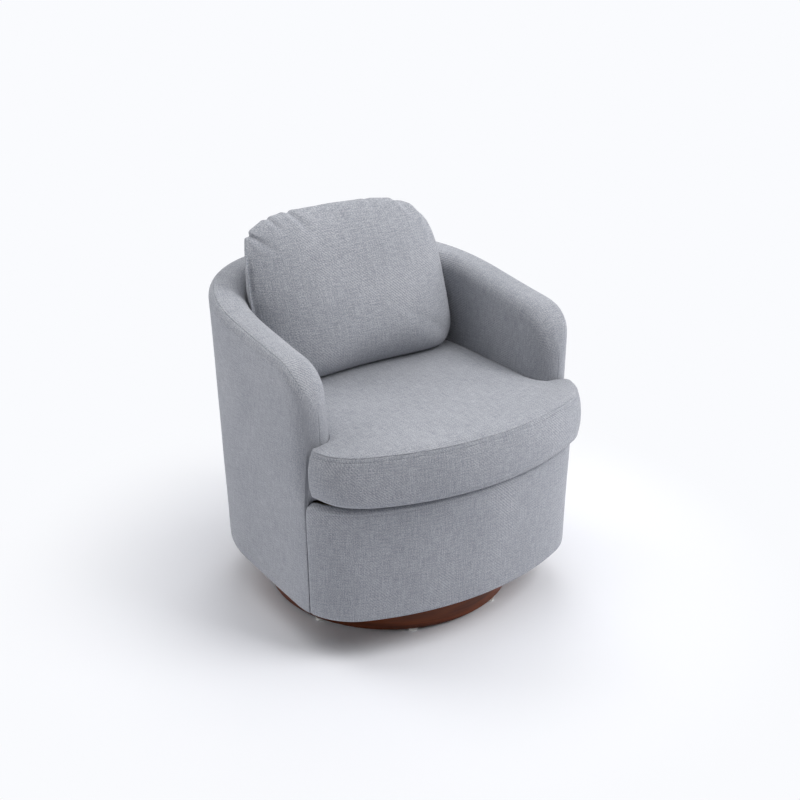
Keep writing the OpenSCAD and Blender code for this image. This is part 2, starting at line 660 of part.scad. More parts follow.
apron_profile = concat(
    [[0, underside_h + lower_edge_r], [lower_edge_r * 0.3, underside_h + lower_edge_r * 0.3],
     [lower_edge_r, underside_h], [apron_t, underside_h], [apron_t, deck_h]],
    [for (i = [0:round_steps]) let (a = 90 + 90 * i / round_steps)
        [apron_top_r + apron_top_r * cos(a), deck_h - apron_top_r + apron_top_r * sin(a)]]);
module apron_pad() color(fabric_grey)
    loft([for (p = apron_places) [for (c = apron_profile) wall_point(p, c[0], c[1])]]);
module apron_board() color("#b08d57")
    loft([for (p = apron_places) let (face = apron_t + rest_gap, low = swivel_top + rest_gap)
        [for (c = [[face, low], [face + apron_board_t, low],
                   [face + apron_board_t, frame_top], [face, frame_top]])
            wall_point(p, c[0], c[1])]]);
module dust_cover() color("#2b2b2e")
    difference() {
        translate([0, 0, underside_h + dust_cover_h / 4]) linear_extrude(dust_cover_h / 2)
            polygon(body_outline(frame_depth, apron_t + frame_gap, underside_h));
        translate([0, 0, underside_h - overrun])
            cylinder(r = plate_side * 0.72, h = dust_cover_h + 2 * overrun);
    }

// Seat cushion: a T in plan, whose ears stand ahead of the arms
cushion_gap = 0.8;
cushion_half_w = body_half_w + cushion_side_reach;
cushion_front = body_front + cushion_front_reach;
cushion_low = deck_h + rest_gap;
bottom_seam_h = deck_h + bottom_seam_rise;
// The foremost point of a nose, on its outer side
nose_front = max([for (p = nose_places) -p[1] - p[3] * wall_mid * (1 - p[4])]);
ear_back = nose_front + 2 * cushion_gap;
// Below this share of the wall's thickness, a place is on the tip of a nose
tip_share = 0.2;
function cushion_side(p, z) =
    let (forward = sqrt(max(0, 1 - p[4] * p[4])),
         q = wall_point(p, wall_t(z, rim_h(p)) + cushion_gap, z))
    [q[0], p[4] < tip_share ? -ear_back : q[1] - 2 * cushion_gap * forward];
function cushion_outline(z, bulge) =
    let (t = (z - bottom_seam_h) / (seat_seam_h - bottom_seam_h),
         front = cushion_front + cushion_toe * (1 - t) + bulge,
         half_w = cushion_half_w + bulge,
         cy = corner_centre_y(front, front_curve_r, cushion_corner_r, half_w - cushion_corner_r),
         start = corner_start(-ear_back, cy, cushion_corner_r),
         ahead = front_places(half_w, front, front_curve_r, cushion_corner_r, start))
    concat([for (p = wall_places) cushion_side(p, z)], [for (p = ahead) [p[0], p[1]]]);
// The rings of the cushion shrink towards a point level with the back of its ears
cushion_centre = [0, -ear_back - flange_h];
crown_span_x = body_half_w * 1.15;
crown_span_y = body_front * 1.05;
crown_middle_y = -body_front / 4;
function crown_share(x, y) =
    max(0, 1 - pow(x / crown_span_x, 2)) * max(0, 1 - pow((y - crown_middle_y) / crown_span_y, 2));
function cushion_ring(scale_share, seam_z, bulge, rise) =
    [for (q = cushion_outline(seam_z, bulge))
        let (s = cushion_centre + (q - cushion_centre) * scale_share,
             crown = crown_share(s[0], s[1]) * (1 - pow(scale_share, crown_flatness)),
             z = seam_z + (rise > 0 ? rise * crown : rise))
        [s[0], s[1], z]];
belly = cushion_low - bottom_seam_h;
band = seat_seam_h - bottom_seam_h;
crown_shares = [0.99, 0.94, 0.84, 0.68, 0.48, 0.26];
crown_flatness = 8;
// Each ring of the underside: its scale, and its drop below the bottom seam
belly_shares = [[0.3, 1], [0.86, 1], [0.95, 0.7]];
band_shares = [0, 0.2, 0.5, 0.8];
module seat_cushion() color(fabric_grey)
    difference() {
        loft(concat(
            [for (b = belly_shares) cushion_ring(b[0], bottom_seam_h, 0, belly * b[1])],
            [for (u = band_shares)
                cushion_ring(1, bottom_seam_h + band * u, cushion_bulge * sin(180 * u), 0)],
            [cushion_ring(1, seat_seam_h - flange_h / 2, flange_h / 2, 0),
             cushion_ring(1, seat_seam_h, 0, 0)],
            [for (s = crown_shares) cushion_ring(s, seat_seam_h, 0, seat_crown)]), domed = true);
        cushion_core(core_share + rest_gap / body_half_w, rest_gap);
    }
core_share = 0.92;
module cushion_core(share, grow)
    translate([0, 0, bottom_seam_h + cushion_bulge - grow])
        linear_extrude(band - 2 * cushion_bulge + 2 * grow)
            polygon([for (q = cushion_outline(bottom_seam_h, 0))
                cushion_centre + (q - cushion_centre) * share]);
module cushion_foam() color(foam)
    cushion_core(core_share, 0);

// Back pillow: crowned, leaning, and wrapped forward at its sides by the curve of the tub
pillow_half_w = body_half_w - pillow_side_inset;
pillow_spokes = 56;
top_squareness = 3.7;
side_squareness = 4.2;
bottom_squareness = 7;
// A higher fullness keeps the pillow thick nearer its edge, and a lower sharpness blunts the edge
pillow_fullness = 2.6;
pillow_sharpness = 0.62;
pillow_ring_shares = [0.26, 0.5, 0.7, 0.85, 0.95];
pillow_low = seat_seam_h + seat_crown * 0.35;
pillow_mid_z = pillow_low + pillow_h / 2;
function tub_back_y(x, z) =
    let (h = arm_rim_h, zz = min(z, h - rim_inner_r),
         in_t = wall_t(zz, h),
         a = body_half_w + tan(arm_lean) * (zz - underside_h) - in_t,
         b = back_depth + tan(back_lean) * (zz - underside_h) - in_t)
    b * pow(max(0, 1 - pow(min(1, abs(x) / a), back_squareness)), 1 / back_squareness) + widest_behind;
function seat_top_z(x, y) = seat_seam_h + seat_crown * crown_share(x, y);
function pillow_edge(a, inset) =
    let (upper = sin(a) > 0,
         v = power(sin(a), upper ? 2 / top_squareness : 2 / bottom_squareness),
         scallop = upper ? pucker * sin(a) * cos((a - 90) * pillow_spokes / 4) : 0,
         taper = upper ? pillow_taper_share * v : 0,
         squareness = upper ? side_squareness : bottom_squareness,
         x = (pillow_half_w - inset + scallop) * power(cos(a), 2 / squareness) * (1 - taper))
    [x, (pillow_h / 2 - inset + scallop) * v];
function pillow_point(a, s, face, inset) =
    let (edge = pillow_edge(a, inset) * s,
         half_t = (pillow_t / 2 - inset) * pow(1 - pow(s, pillow_fullness), pillow_sharpness),
         mid = pillow_back + tan(pillow_lean) * edge[1] - pillow_bend * pow(edge[0] / pillow_half_w, 2),
         z = pillow_mid_z + edge[1],
         y = min(mid + face * half_t, tub_back_y(edge[0], z) - cushion_gap - inset),
         z_safe = max(z, seat_top_z(edge[0], y) + rest_gap + inset))
    [edge[0], y, z_safe];
function pillow_ring(s, face, inset) =
    [for (j = [0:pillow_spokes - 1]) pillow_point(360 * j / pillow_spokes, s, face, inset)];
module pillow_solid(inset)
    loft(concat(
        [for (s = pillow_ring_shares) pillow_ring(s, -1, inset)],
        [pillow_ring(1, 0, inset)],
        [for (s = flip(pillow_ring_shares)) pillow_ring(s, 1, inset)]), domed = true);
insert_inset = pillow_t * 0.08;
module back_pillow() color(fabric_grey)
    difference() {
        pillow_solid(0);
        pillow_solid(insert_inset);
    }
module pillow_insert() color("white")
    pillow_solid(insert_inset + rest_gap);

base_drum();
base_top_board();
base_glue_blocks();
glides();
swivel_lower_plate();
swivel_balls();
ball_cage();
lower_plate_screws();
swivel_upper_plate();
swivel_collar();
upper_plate_bolts();
upper_plate_nuts();
bottom_board();
cross_braces();
lower_posts();
seat_frame();
seat_springs();
spring_clips();
deck_felt();
upper_posts();
top_rail();
inner_liner_board();
outer_panel();
inner_pad();
apron_pad();
apron_board();
dust_cover();
seat_cushion();
cushion_foam();
back_pillow();
pillow_insert();
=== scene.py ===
"""Looks of the swivel barrel chair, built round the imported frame. Metres, Z up, the chair faces -Y."""
import bpy, bmesh, math
from collections import namedtuple
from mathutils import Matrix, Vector, noise


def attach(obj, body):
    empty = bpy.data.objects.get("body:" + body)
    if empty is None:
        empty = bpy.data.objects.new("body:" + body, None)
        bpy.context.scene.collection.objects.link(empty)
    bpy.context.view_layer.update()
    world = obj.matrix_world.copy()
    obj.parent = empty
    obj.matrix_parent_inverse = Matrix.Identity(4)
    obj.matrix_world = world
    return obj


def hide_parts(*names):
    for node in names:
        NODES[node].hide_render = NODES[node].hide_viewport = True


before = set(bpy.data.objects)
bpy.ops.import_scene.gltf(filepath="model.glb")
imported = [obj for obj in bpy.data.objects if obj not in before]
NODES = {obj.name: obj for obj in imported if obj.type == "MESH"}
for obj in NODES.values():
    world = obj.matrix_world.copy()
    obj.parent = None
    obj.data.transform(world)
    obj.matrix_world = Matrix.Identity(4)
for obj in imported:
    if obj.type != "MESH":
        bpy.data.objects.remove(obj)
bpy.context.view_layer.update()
MM = 0.001

# Camera
IMAGE_PX = 800
FOCAL_PX = 1250
SENSOR = 36
FAR_CLIP = 50
camera_place = Vector((-1.366373, -2.069473, 1.479076))
camera_back = Vector((-0.513743, -0.7616553, 0.3949042))


def add_camera():
    data = bpy.data.cameras.new("camera")
    data.sensor_width = SENSOR
    data.lens = FOCAL_PX / IMAGE_PX * SENSOR
    data.clip_end = FAR_CLIP
    camera = bpy.data.objects.new("camera", data)
    camera.location = camera_place
    camera.rotation_euler = camera_back.to_track_quat("Z", "Y").to_euler()
    bpy.context.scene.collection.objects.link(camera)
    bpy.context.scene.camera = camera


add_camera()

# Sizes of the body, the same as the solids'
body_half_w = 330 * MM
widest_behind = 36 * MM
body_front = 338 * MM
body_back = 327 * MM
front_curve_r = 629 * MM
front_corner_r = 139 * MM
back_squareness = 2.5
underside_h = 94 * MM
arm_rim_h = 620 * MM
back_rim_h = 683 * MM
rim_rise_power = 1.2
arm_lean = math.tan(math.radians(1.1))
back_lean = math.tan(math.radians(4.2))
apron_lean = math.tan(math.radians(1.1))
wall_seat_t = 96 * MM
wall_rim_t = 76 * MM
rim_outer_r = 22 * MM
rim_inner_r = 36 * MM
panel_t = 6 * MM
nose_start = 157 * MM
nose_l = 51 * MM
nose_drop = 100 * MM
drop_start = 122 * MM
nose_skew = 0.1
apron_seam = 200 * MM
deck_h = 349 * MM
apron_t = 25 * MM
apron_top_r = 14 * MM
lower_edge_r = 7 * MM
wall_mid = wall_rim_t / 2 + (wall_seat_t - wall_rim_t) / 4
nose_tip = nose_start + nose_l
back_depth = body_back - widest_behind
seam_gap = 0.6 * MM
rest_gap = 0.3 * MM

# Cloth turned in out of sight under the covers' edges
cloth_t = 1 * MM
hem_w = 20 * MM
hem_lift = 0.6 * MM


# Materials
def linear(code):
    """A hex colour as written, turned to the linear values that the shader takes."""
    parts = [int(code[i:i + 2], 16) / 255 for i in (1, 3, 5)]
    return [c / 12.92 if c <= 0.04045 else ((c + 0.055) / 1.055) ** 2.4 for c in parts] + [1]


def add(tree, kind, settings=None, stops=(), **links):
    """Adds a node. Settings are its properties, and stops are a colour ramp's places and linear colours.
    Links are its inputs, by name, or as i and a number, and each is given a socket or a value."""
    made = tree.nodes.new("ShaderNode" + kind)
    for name, value in (settings or {}).items():
        setattr(made, name, value)
    for i, (place, colour) in enumerate(stops):
        band = made.color_ramp.elements
        stop = band[i] if i < len(band) else band.new(place)
        stop.position = place
        stop.color = colour
    for name, value in links.items():
        spot = made.inputs[int(name[1:]) if name[1:].isdigit() else name.replace("_", " ")]
        if isinstance(value, bpy.types.NodeSocket):
            tree.links.new(value, spot)
        else:
            spot.default_value = value
    return made


def new_material(name):
    material = bpy.data.materials.new(name)
    material.use_nodes = True
    tree = material.node_tree
    tree.nodes.clear()
    shader = add(tree, "BsdfPrincipled")
    add(tree, "OutputMaterial", Surface=shader.outputs["BSDF"])
    return material, tree, shader


def woven_linen():
    """Heathered polyester woven in a linen look: short pale and dark slubs along both threads, over a fine
    even grain. It gives the eye soft flecks with no stripes, and no shine. The real threads are about
    0.9 mm apart. The grain is drawn at 2 to 3 mm, because finer threads don't show. Faint slanting lines
    run through it in places, as woven cloth has at a distance."""
    material, tree, shader = new_material("heathered_linen_weave")
    cloth = add(tree, "UVMap", {"uv_map": "weave"}).outputs["UV"]
    layers = []
    # Each layer's shift, the width and height of its grains in mm, and its detail
    for shift, wide_mm, high_mm, detail in (
            (3.1, 26, 2.6, 1),
            (8.7, 2.6, 34, 1),
            (5.3, 1.9, 1.9, 0),
            (1.9, 150, 170, 1)):
        place = add(tree, "Mapping", Vector=cloth, Location=(shift, 0.7 * shift, 0),
                    Scale=(1 / (wide_mm * MM), 1 / (high_mm * MM), 1)).outputs[0]
        layers.append(add(tree, "TexNoise", {"noise_dimensions": "2D"}, Vector=place, Scale=1.0,
                          Detail=detail, Roughness=0.6).outputs["Fac"])
    long_slubs, upright_slubs, grain, cloud = layers
    # The slanting lines are 7 mm apart along a thread, so 5 mm apart across, and fade in and out
    pitch = 7 * MM
    axes = add(tree, "SeparateXYZ", i0=cloth)
    along = add(tree, "Math", {"operation": "ADD"}, i0=axes.outputs[0], i1=axes.outputs[1]).outputs[0]
    turns = add(tree, "Math", {"operation": "MULTIPLY"}, i0=along, i1=2 * math.pi / pitch).outputs[0]
    wave = add(tree, "Math", {"operation": "SINE"}, i0=turns).outputs[0]
    patches = add(tree, "Math", {"operation": "SUBTRACT", "use_clamp": True}, i0=cloud, i1=0.5).outputs[0]
    strength = add(tree, "Math", {"operation": "ADD"}, i0=patches, i1=0.05).outputs[0]
    slant = add(tree, "Math", {"operation": "MULTIPLY"}, i0=wave, i1=strength).outputs[0]
    # The cloud's middle is taken off first, so that it darkens as much as it lightens
    cloud_share = 0.1
    tone = -cloud_share / 2
    for layer, share in (
            (long_slubs, 0.25),
            (upright_slubs, 0.25),
            (grain, 0.5),
            (slant, 0.3),
            (cloud, cloud_share)):
        tone = add(tree, "Math", {"operation": "MULTIPLY_ADD"}, i0=layer, i1=share, i2=tone).outputs[0]
    height = grain
    for layer in (long_slubs, upright_slubs):
        height = add(tree, "Math", {"operation": "MULTIPLY_ADD"}, i0=layer, i1=0.6, i2=height).outputs[0]
    shades = [(0.30, linear("#82858e")), (0.44, linear("#96999f")), (0.56, linear("#a2a4ac")),
              (0.70, linear("#b8b9be"))]
    colour = add(tree, "ValToRGB", stops=shades, i0=tone).outputs[0]
    tree.links.new(colour, shader.inputs["Base Color"])
    bump = add(tree, "Bump", Height=height, Strength=0.4, Distance=0.5 * MM)
    tree.links.new(bump.outputs[0], shader.inputs["Normal"])
    shader.inputs["Roughness"].default_value = 0.92
    shader.inputs["Specular IOR Level"].default_value = 0.15
    shader.inputs["Sheen Weight"].default_value = 0.12
    shader.inputs["Sheen Roughness"].default_value = 0.5
    return material


def walnut_veneer():
    """American walnut veneer bent round the plinth under satin lacquer. It gives the eye a warm red-brown
    band with fine level lines and a soft shine. Real pores are about 0.3 mm high. The lines are drawn
    2.4 mm high, 420 to the metre, because finer ones don't show. The broader figure is 22 mm high, 46 to
    the metre."""
    material, tree, shader = new_material("satin_walnut_veneer")
    place = add(tree, "TexCoord").outputs["Object"]
    xyz = add(tree, "SeparateXYZ", i0=place)
    turn = add(tree, "Math", {"operation": "ARCTAN2"}, i0=xyz.outputs[1], i1=xyz.outputs[0]).outputs[0]
    round_plinth = add(tree, "CombineXYZ", i0=turn, i1=xyz.outputs[2], i2=0.0).outputs[0]
    # Scales per radian round the plinth, then per metre up it
    lines_per_m = 420
    figures_per_m = 46
    fine = add(tree, "Mapping", Vector=round_plinth, Scale=(2.2, lines_per_m, 1.0)).outputs[0]
    broad = add(tree, "Mapping", Vector=round_plinth, Scale=(0.9, figures_per_m, 1.0)).outputs[0]
    pores = add(tree, "TexNoise", {"noise_dimensions": "2D"}, Vector=fine, Scale=1.0, Detail=4.0,
                Roughness=0.6).outputs["Fac"]
    figure = add(tree, "TexNoise", {"noise_dimensions": "2D"}, Vector=broad, Scale=1.0, Detail=2.0,
                 Distortion=0.6).outputs["Fac"]
    both = add(tree, "Mix", {"data_type": "FLOAT"}, i0=0.42, i2=figure, i3=pores).outputs[0]
    browns = [(0.30, linear("#401b08")), (0.48, linear("#5e2b0e")), (0.62, linear("#723613")),
              (0.75, linear("#82431d"))]
    colour = add(tree, "ValToRGB", stops=browns, i0=both).outputs[0]
    tree.links.new(colour, shader.inputs["Base Color"])
    bump = add(tree, "Bump", Height=pores, Strength=0.15, Distance=0.2 * MM)
    tree.links.new(bump.outputs[0], shader.inputs["Normal"])
    rough = add(tree, "MapRange", i0=pores, i1=0.3, i2=0.7, i3=0.42, i4=0.32).outputs[0]
    tree.links.new(rough, shader.inputs["Roughness"])
    shader.inputs["Specular IOR Level"].default_value = 0.3
    shader.inputs["Coat Weight"].default_value = 0.06
    shader.inputs["Coat Roughness"].default_value = 0.3
    return material


def sawn_wood(name, dark, pale, grain_mm, roughness):
    """Wood whose grain is fine across and runs for about 170 mm."""
    material, tree, shader = new_material(name)
    place = add(tree, "TexCoord").outputs["Object"]
    across = 1 / (grain_mm * MM)
    moved = add(tree, "Mapping", Vector=place, Scale=(6.0, across, across)).outputs[0]
    grain = add(tree, "TexNoise", Vector=moved, Scale=1.0, Detail=3.0, Roughness=0.6).outputs["Fac"]
    stops = [(0.3, linear(dark)), (0.7, linear(pale))]
    colour = add(tree, "ValToRGB", stops=stops, i0=grain).outputs[0]
    tree.links.new(colour, shader.inputs["Base Color"])
    bump = add(tree, "Bump", Height=grain, Strength=0.2, Distance=0.3 * MM)
    tree.links.new(bump.outputs[0], shader.inputs["Normal"])
    shader.inputs["Roughness"].default_value = roughness
    return material


def marked_steel(name, colour, roughness, mark_mm):
    """Bare or plated steel with fine marks of its making, a fifth darker and a little smoother than the
    rest. They are drawn mark_mm wide and 33 mm long."""
    material, tree, shader = new_material(name)
    place = add(tree, "TexCoord").outputs["Object"]
    moved = add(tree, "Mapping", Vector=place, Scale=(30.0, 1 / (mark_mm * MM), 30.0)).outputs[0]
    marks = add(tree, "TexNoise", Vector=moved, Scale=1.0, Detail=3.0).outputs["Fac"]
    rough = add(tree, "MapRange", i0=marks, i1=0.3, i2=0.7, i3=roughness * 0.8,
                i4=roughness * 1.25).outputs[0]
    tree.links.new(rough, shader.inputs["Roughness"])
    bright = linear(colour)
    dull = [c * 0.8 for c in bright[:3]] + [1]
    shade = add(tree, "ValToRGB", stops=[(0.3, dull), (0.7, bright)], i0=marks).outputs[0]
    tree.links.new(shade, shader.inputs["Base Color"])
    shader.inputs["Metallic"].default_value = 1.0
    return material


def grained(name, dark, pale, grain_mm, roughness, bump_mm=0.1):
    """Moulded plastic, felt, foam or board with an even grain."""
    material, tree, shader = new_material(name)
    place = add(tree, "TexCoord").outputs["Object"]
    grain = add(tree, "TexNoise", Vector=place, Scale=1 / (grain_mm * MM), Detail=3.0).outputs["Fac"]
    stops = [(0.35, linear(dark)), (0.65, linear(pale))]
    colour = add(tree, "ValToRGB", stops=stops, i0=grain).outputs[0]
    tree.links.new(colour, shader.inputs["Base Color"])
    bump = add(tree, "Bump", Height=grain, Strength=0.4, Distance=bump_mm * MM)
    tree.links.new(bump.outputs[0], shader.inputs["Normal"])
    shader.inputs["Roughness"].default_value = roughness
    return material


linen = woven_linen()
walnut = walnut_veneer()
# Birch plywood, sawn and sanded: pale and matt, with soft long grain
birch = sawn_wood("sanded_birch_plywood", "#c9a877", "#e0c79c", 1.6, 0.65)
# Hardboard pressed from fibres: even, brown and matt
fibreboard = grained("pressed_fibreboard", "#9a7846", "#b08d57", 1.2, 0.8)
# Mild steel, stamped and zinc plated: pale grey with a soft shine
zinc = marked_steel("zinc_plated_steel", "#b8bcc2", 0.35, 0.8)
# Drawn spring wire under a film of oil: dark grey and smooth
spring_steel = marked_steel("oiled_spring_wire", "#70747a", 0.4, 0.5)
# Chromium steel balls, ground and polished: near a mirror
bearing_steel = marked_steel("polished_bearing_steel", "#d4d6da", 0.12, 0.5)
# Nylon glides as moulded: off-white with a faint shine
white_nylon = grained("moulded_white_nylon", "#e6e6e0", "#f2f2ee", 0.6, 0.45)
# Nylon cage wet with grease: dull green, smoother than dry nylon
cage_nylon = grained("greased_cage_nylon", "#4e5d3f", "#61724f", 0.8, 0.4)
# Polyurethane foam cut from a block: cream, matt and full of open cells
foam = grained("open_cell_foam", "#ddd2ae", "#efe6c8", 1.1, 0.95, 0.5)
# Bonded polypropylene ticking: white and matt, slightly fluffy
ticking = grained("non_woven_ticking", "#e2e0da", "#f2f1ed", 1.8, 0.95, 0.3)
# Needled polyester felt: charcoal, with a rough dry face
felt = grained("needled_charcoal_felt", "#333336", "#4b4b50", 1.4, 0.97, 0.5)
# Bonded dust cloth: black, thin and matt
dust_cloth = grained("black_dust_cloth", "#202022", "#35353a", 0.9, 0.95, 0.2)

for names, material in (
        (("base_drum",), walnut),
        (("base_top_board", "base_glue_blocks", "bottom_board", "cross_braces", "lower_posts", "seat_frame",
          "upper_posts", "top_rail"), birch),
        (("inner_liner_board", "apron_board"), fibreboard),
        (("swivel_lower_plate", "swivel_upper_plate", "swivel_collar", "lower_plate_screws",
          "upper_plate_bolts", "upper_plate_nuts", "spring_clips"), zinc),
        (("seat_springs",), spring_steel),
        (("swivel_balls",), bearing_steel),
        (("ball_cage",), cage_nylon),
        (("glides",), white_nylon),
        (("deck_felt",), felt),
        (("dust_cover",), dust_cloth),
        (("cushion_foam",), foam),
        (("pillow_insert",), ticking)):
    for name in names:
        mesh = NODES[name].data
        mesh.materials.clear()
        mesh.materials.append(material)


def mix(a, b, t):
    return a + (b - a) * t


def clamp(v, low, high):
    return min(max(v, low), high)


def power(v, e):
    """A power of the number's size, with its sign kept."""
    return math.copysign(abs(v) ** e, v)


def smooth(t):
    t = clamp(t, 0, 1)
    return t * t * (3 - 2 * t)


# The wall's path, as places. Each has its inward direction, its share of the wall's thickness, and how far
# it leans outward per unit of height.
Place = namedtuple("Place", "x y in_x in_y share lean_x lean_y")


def back_place(angle):
    x = body_half_w * power(math.cos(angle), 2 / back_squareness)
    depth = back_depth * abs(math.sin(angle)) ** (2 / back_squareness)
    out = Vector((power(x / body_half_w, back_squareness - 1) / body_half_w,
                  (depth / back_depth) ** (back_squareness - 1) / back_depth)).normalized()
    lean = arm_lean * out.x ** 2 + back_lean * out.y ** 2
    return Place(x, depth + widest_behind, -out.x, -out.y, 1, lean * out.x, lean * out.y)


def side_place(ahead, skew):
    return Place(-body_half_w, -ahead - skew * wall_mid, 1, skew, 1, -arm_lean, 0)


def nose_place(angle, back=0.0):
    """A place round the left nose, from angle 0 at its start to a quarter turn at its tip. back is how far
    behind that it is moved."""
    ahead = nose_start + nose_skew * wall_mid + nose_l * math.sin(angle) - back
    return Place(-body_half_w, -ahead, 1, nose_skew, max(math.cos(angle), 0), -arm_lean, 0)


def mirrored(p):
    return Place(-p.x, p.y, -p.in_x, p.in_y, p.share, -p.lean_x, p.lean_y)


def rim_h(p):
    """The rim's height over a place: it rises towards the back and drops round over the noses."""
    share = clamp((p.y + nose_start) / (body_back + nose_start), 0, 1)
    ahead = clamp((-p.y - p.in_y * wall_mid - drop_start) / (nose_tip - drop_start), 0, 1)
    return mix(arm_rim_h, back_rim_h, share ** rim_rise_power) - nose_drop * (1 - math.sqrt(1 - ahead ** 2))


def wall_t(z, h):
    return mix(wall_seat_t, wall_rim_t, (z - deck_h) / (h - deck_h))


def wall_point(p, depth, z):
    """The point at a depth inward of the wall's outer face, at a height."""
    d = wall_mid + (depth - wall_mid) * p.share
    rise = z - underside_h
    return Vector((p.x + p.in_x * d + p.lean_x * rise, p.y + p.in_y * d + p.lean_y * rise, z))


def corner_centre_y(front, curve_r, corner_r, centre_x):
    return -front + curve_r - math.sqrt((curve_r - corner_r) ** 2 - centre_x ** 2)


def front_places(half_w, front, curve_r, corner_r, start, corner_steps, front_steps):
    """Places round a bowed front with round corners, from right to left. start is the first one's angle."""
    cx = half_w - corner_r
    cy = corner_centre_y(front, curve_r, corner_r, cx)
    turn = math.atan2(cx, curve_r - front - cy)
    right_end = turn - math.pi / 2
    left_end = -math.pi / 2 - turn

    def place(centre, r, a):
        c, s = math.cos(a), math.sin(a)
        return Place(centre[0] + r * c, centre[1] + r * s, -c, -s, 1, apron_lean * c, apron_lean * s)
    right = [place((cx, cy), corner_r, mix(start, right_end, i / corner_steps))
             for i in range(corner_steps)]
    middle = [place((0, curve_r - front), curve_r, mix(right_end, left_end, i / front_steps))
              for i in range(front_steps + 1)]
    return right + middle + [mirrored(p) for p in reversed(right)]


body_corner_x = body_half_w - front_corner_r
body_corner_y = corner_centre_y(body_front, front_curve_r, front_corner_r, body_corner_x)


def outline_place(y):
    """The place on the left of the body's outline at a given y: straight, then round the front corner."""
    if y > body_corner_y:
        return Place(-body_half_w, y, 1, 0, 1, -arm_lean, 0)
    a = math.asin(clamp((y - body_corner_y) / front_corner_r, -0.9, 0))
    c, s = math.cos(a), math.sin(a)
    return Place(-body_corner_x - front_corner_r * c, body_corner_y + front_corner_r * s, c, -s, 1,
                 -apron_lean * c, apron_lean * s)


def below(p):
    """The body's outline under a place on a nose."""
    return outline_place(p.y + p.in_y * wall_mid * (1 - p.share)) if p.share < 1 else p


# The first place lies a little behind the nose's tip, where the covers' seam sinks in. The next is about a
# third of a step on.
NOSE_STEPS = 12
STRAIGHT_STEPS = 12
BACK_STEPS = 72
TIP_STEP_SHARE = 0.35
seam_pull = 1 * MM
nose_list = [nose_place(math.pi / 2, seam_pull)] + [
    nose_place(math.pi / 2 * math.sqrt(1 - (i + TIP_STEP_SHARE) / NOSE_STEPS)) for i in range(NOSE_STEPS)]
side_list = [side_place(mix(nose_start, -widest_behind, i / STRAIGHT_STEPS),
                        nose_skew * max(0, 1 - 2 * i / STRAIGHT_STEPS)) for i in range(STRAIGHT_STEPS)]
back_list = [back_place(math.pi - math.pi * i / BACK_STEPS) for i in range(BACK_STEPS + 1)]
arm_list = nose_list + side_list
wall_list = arm_list + back_list + [mirrored(p) for p in reversed(arm_list)]


def reach_ahead(p):
    """How far ahead of the swivel axis the wall's middle lies at a place on the left arm."""
    return -p.y - p.in_y * wall_mid * (1 - p.share)


def nose_at(ahead):
    """The place round the nose whose outer face is this far ahead of the swivel axis."""
    reach = math.hypot(nose_l, nose_skew * wall_mid)
    return nose_place(math.asin((ahead - nose_start) / reach) - math.atan2(nose_skew * wall_mid, nose_l))


# Covers
WELD = 0.01 * MM
PILLOW_WELD = 0.05 * MM


def sewn(name, bm):
    """The finished cover of linen. One level of subdivision rounds it."""
    bmesh.ops.recalc_face_normals(bm, faces=bm.faces)
    mesh = bpy.data.meshes.new(name)
    bm.to_mesh(mesh)
    bm.free()
    mesh.materials.append(linen)
    piece = bpy.data.objects.new(name, mesh)
    bpy.context.scene.collection.objects.link(piece)
    rounding = piece.modifiers.new("rounding", "SUBSURF")
    rounding.levels = rounding.render_levels = 1
    return piece


def close_ends(bm, layer):
    """Fills the two open ends with triangles, which carry on the cloth beside them."""
    filled = bmesh.ops.holes_fill(bm, edges=[e for e in bm.edges if e.is_boundary])
    ends = set(bmesh.ops.triangulate(bm, faces=filled["faces"], ngon_method="BEAUTY")["faces"])
    for f in ends:
        f.smooth = True
        for loop in f.loops:
            beside = [k for k in loop.vert.link_loops if k.face not in ends]
            if beside:
                loop[layer].uv = beside[0][layer].uv


def skin(name, rings, uv, ends=False):
    """A cover through closed rings of equal length, made from a grid. uv holds a (u, v) in metres for each
    of the grid's points."""
    columns = len(rings[0]) + 1
    bm = bmesh.new()
    bmesh.ops.create_grid(bm, x_segments=columns - 1, y_segments=len(rings) - 1, size=1)
    bm.verts.ensure_lookup_table()
    layer = bm.loops.layers.uv.new("weave")
    for f in bm.faces:
        for loop in f.loops:
            row, column = divmod(loop.vert.index, columns)
            loop[layer].uv = uv[row][column]
        f.smooth = True
    for v in bm.verts:
        row, column = divmod(v.index, columns)
        v.co = rings[row][column % len(rings[row])]
    bmesh.ops.remove_doubles(bm, verts=bm.verts, dist=WELD)
    if ends:
        close_ends(bm, layer)
    return sewn(name, bm)


def lengths_along(points):
    """The distance along a list of points, starting at 0."""
    total, out = 0.0, [0.0]
    for a, b in zip(points, points[1:]):
        total += (b - a).length
        out.append(total)
    return out


def ring_uv(rings, measured, way=1):
    """u runs from ring to ring, along the measured point, or back with way -1. v runs along each ring."""
    u = [way * length for length in lengths_along([r[measured] for r in rings])]
    middle = rings[len(rings) // 2]
    v = lengths_along(middle + [middle[0]])
    return [[(u[i], v[j]) for j in range(len(v))] for i in range(len(rings))]


def unevenness(point, amount, size):
    """A soft swelling of padding under cloth."""
    return amount * noise.noise(point / size)


def fold(across, swell, swell_w, swell_places):
    """A fold's depth, from 1 in its middle, less the swells beside it. Distances are in half widths."""
    raised = sum(math.exp(-((across - place) / swell_w) ** 2) for place in swell_places)
    return math.exp(-across ** 2) - swell * raised


def pushed(q, p, amount):
    """A point of the wall, moved inward by an amount."""
    return q + Vector((p.in_x, p.in_y, 0)) * amount


# The outer and inner covers meet in a fine seam on the outer side of the rim's roll, where 0 degrees faces
# outward and 90 faces up. Beside it: degrees away from the seam, and how deep the cloth is drawn in.
SEAM_TURN = 60
SEAM_SIDES = [(0, 0.9 * MM), (0.5, 0.5 * MM), (2.5, 0.1 * MM), (6, 0)]
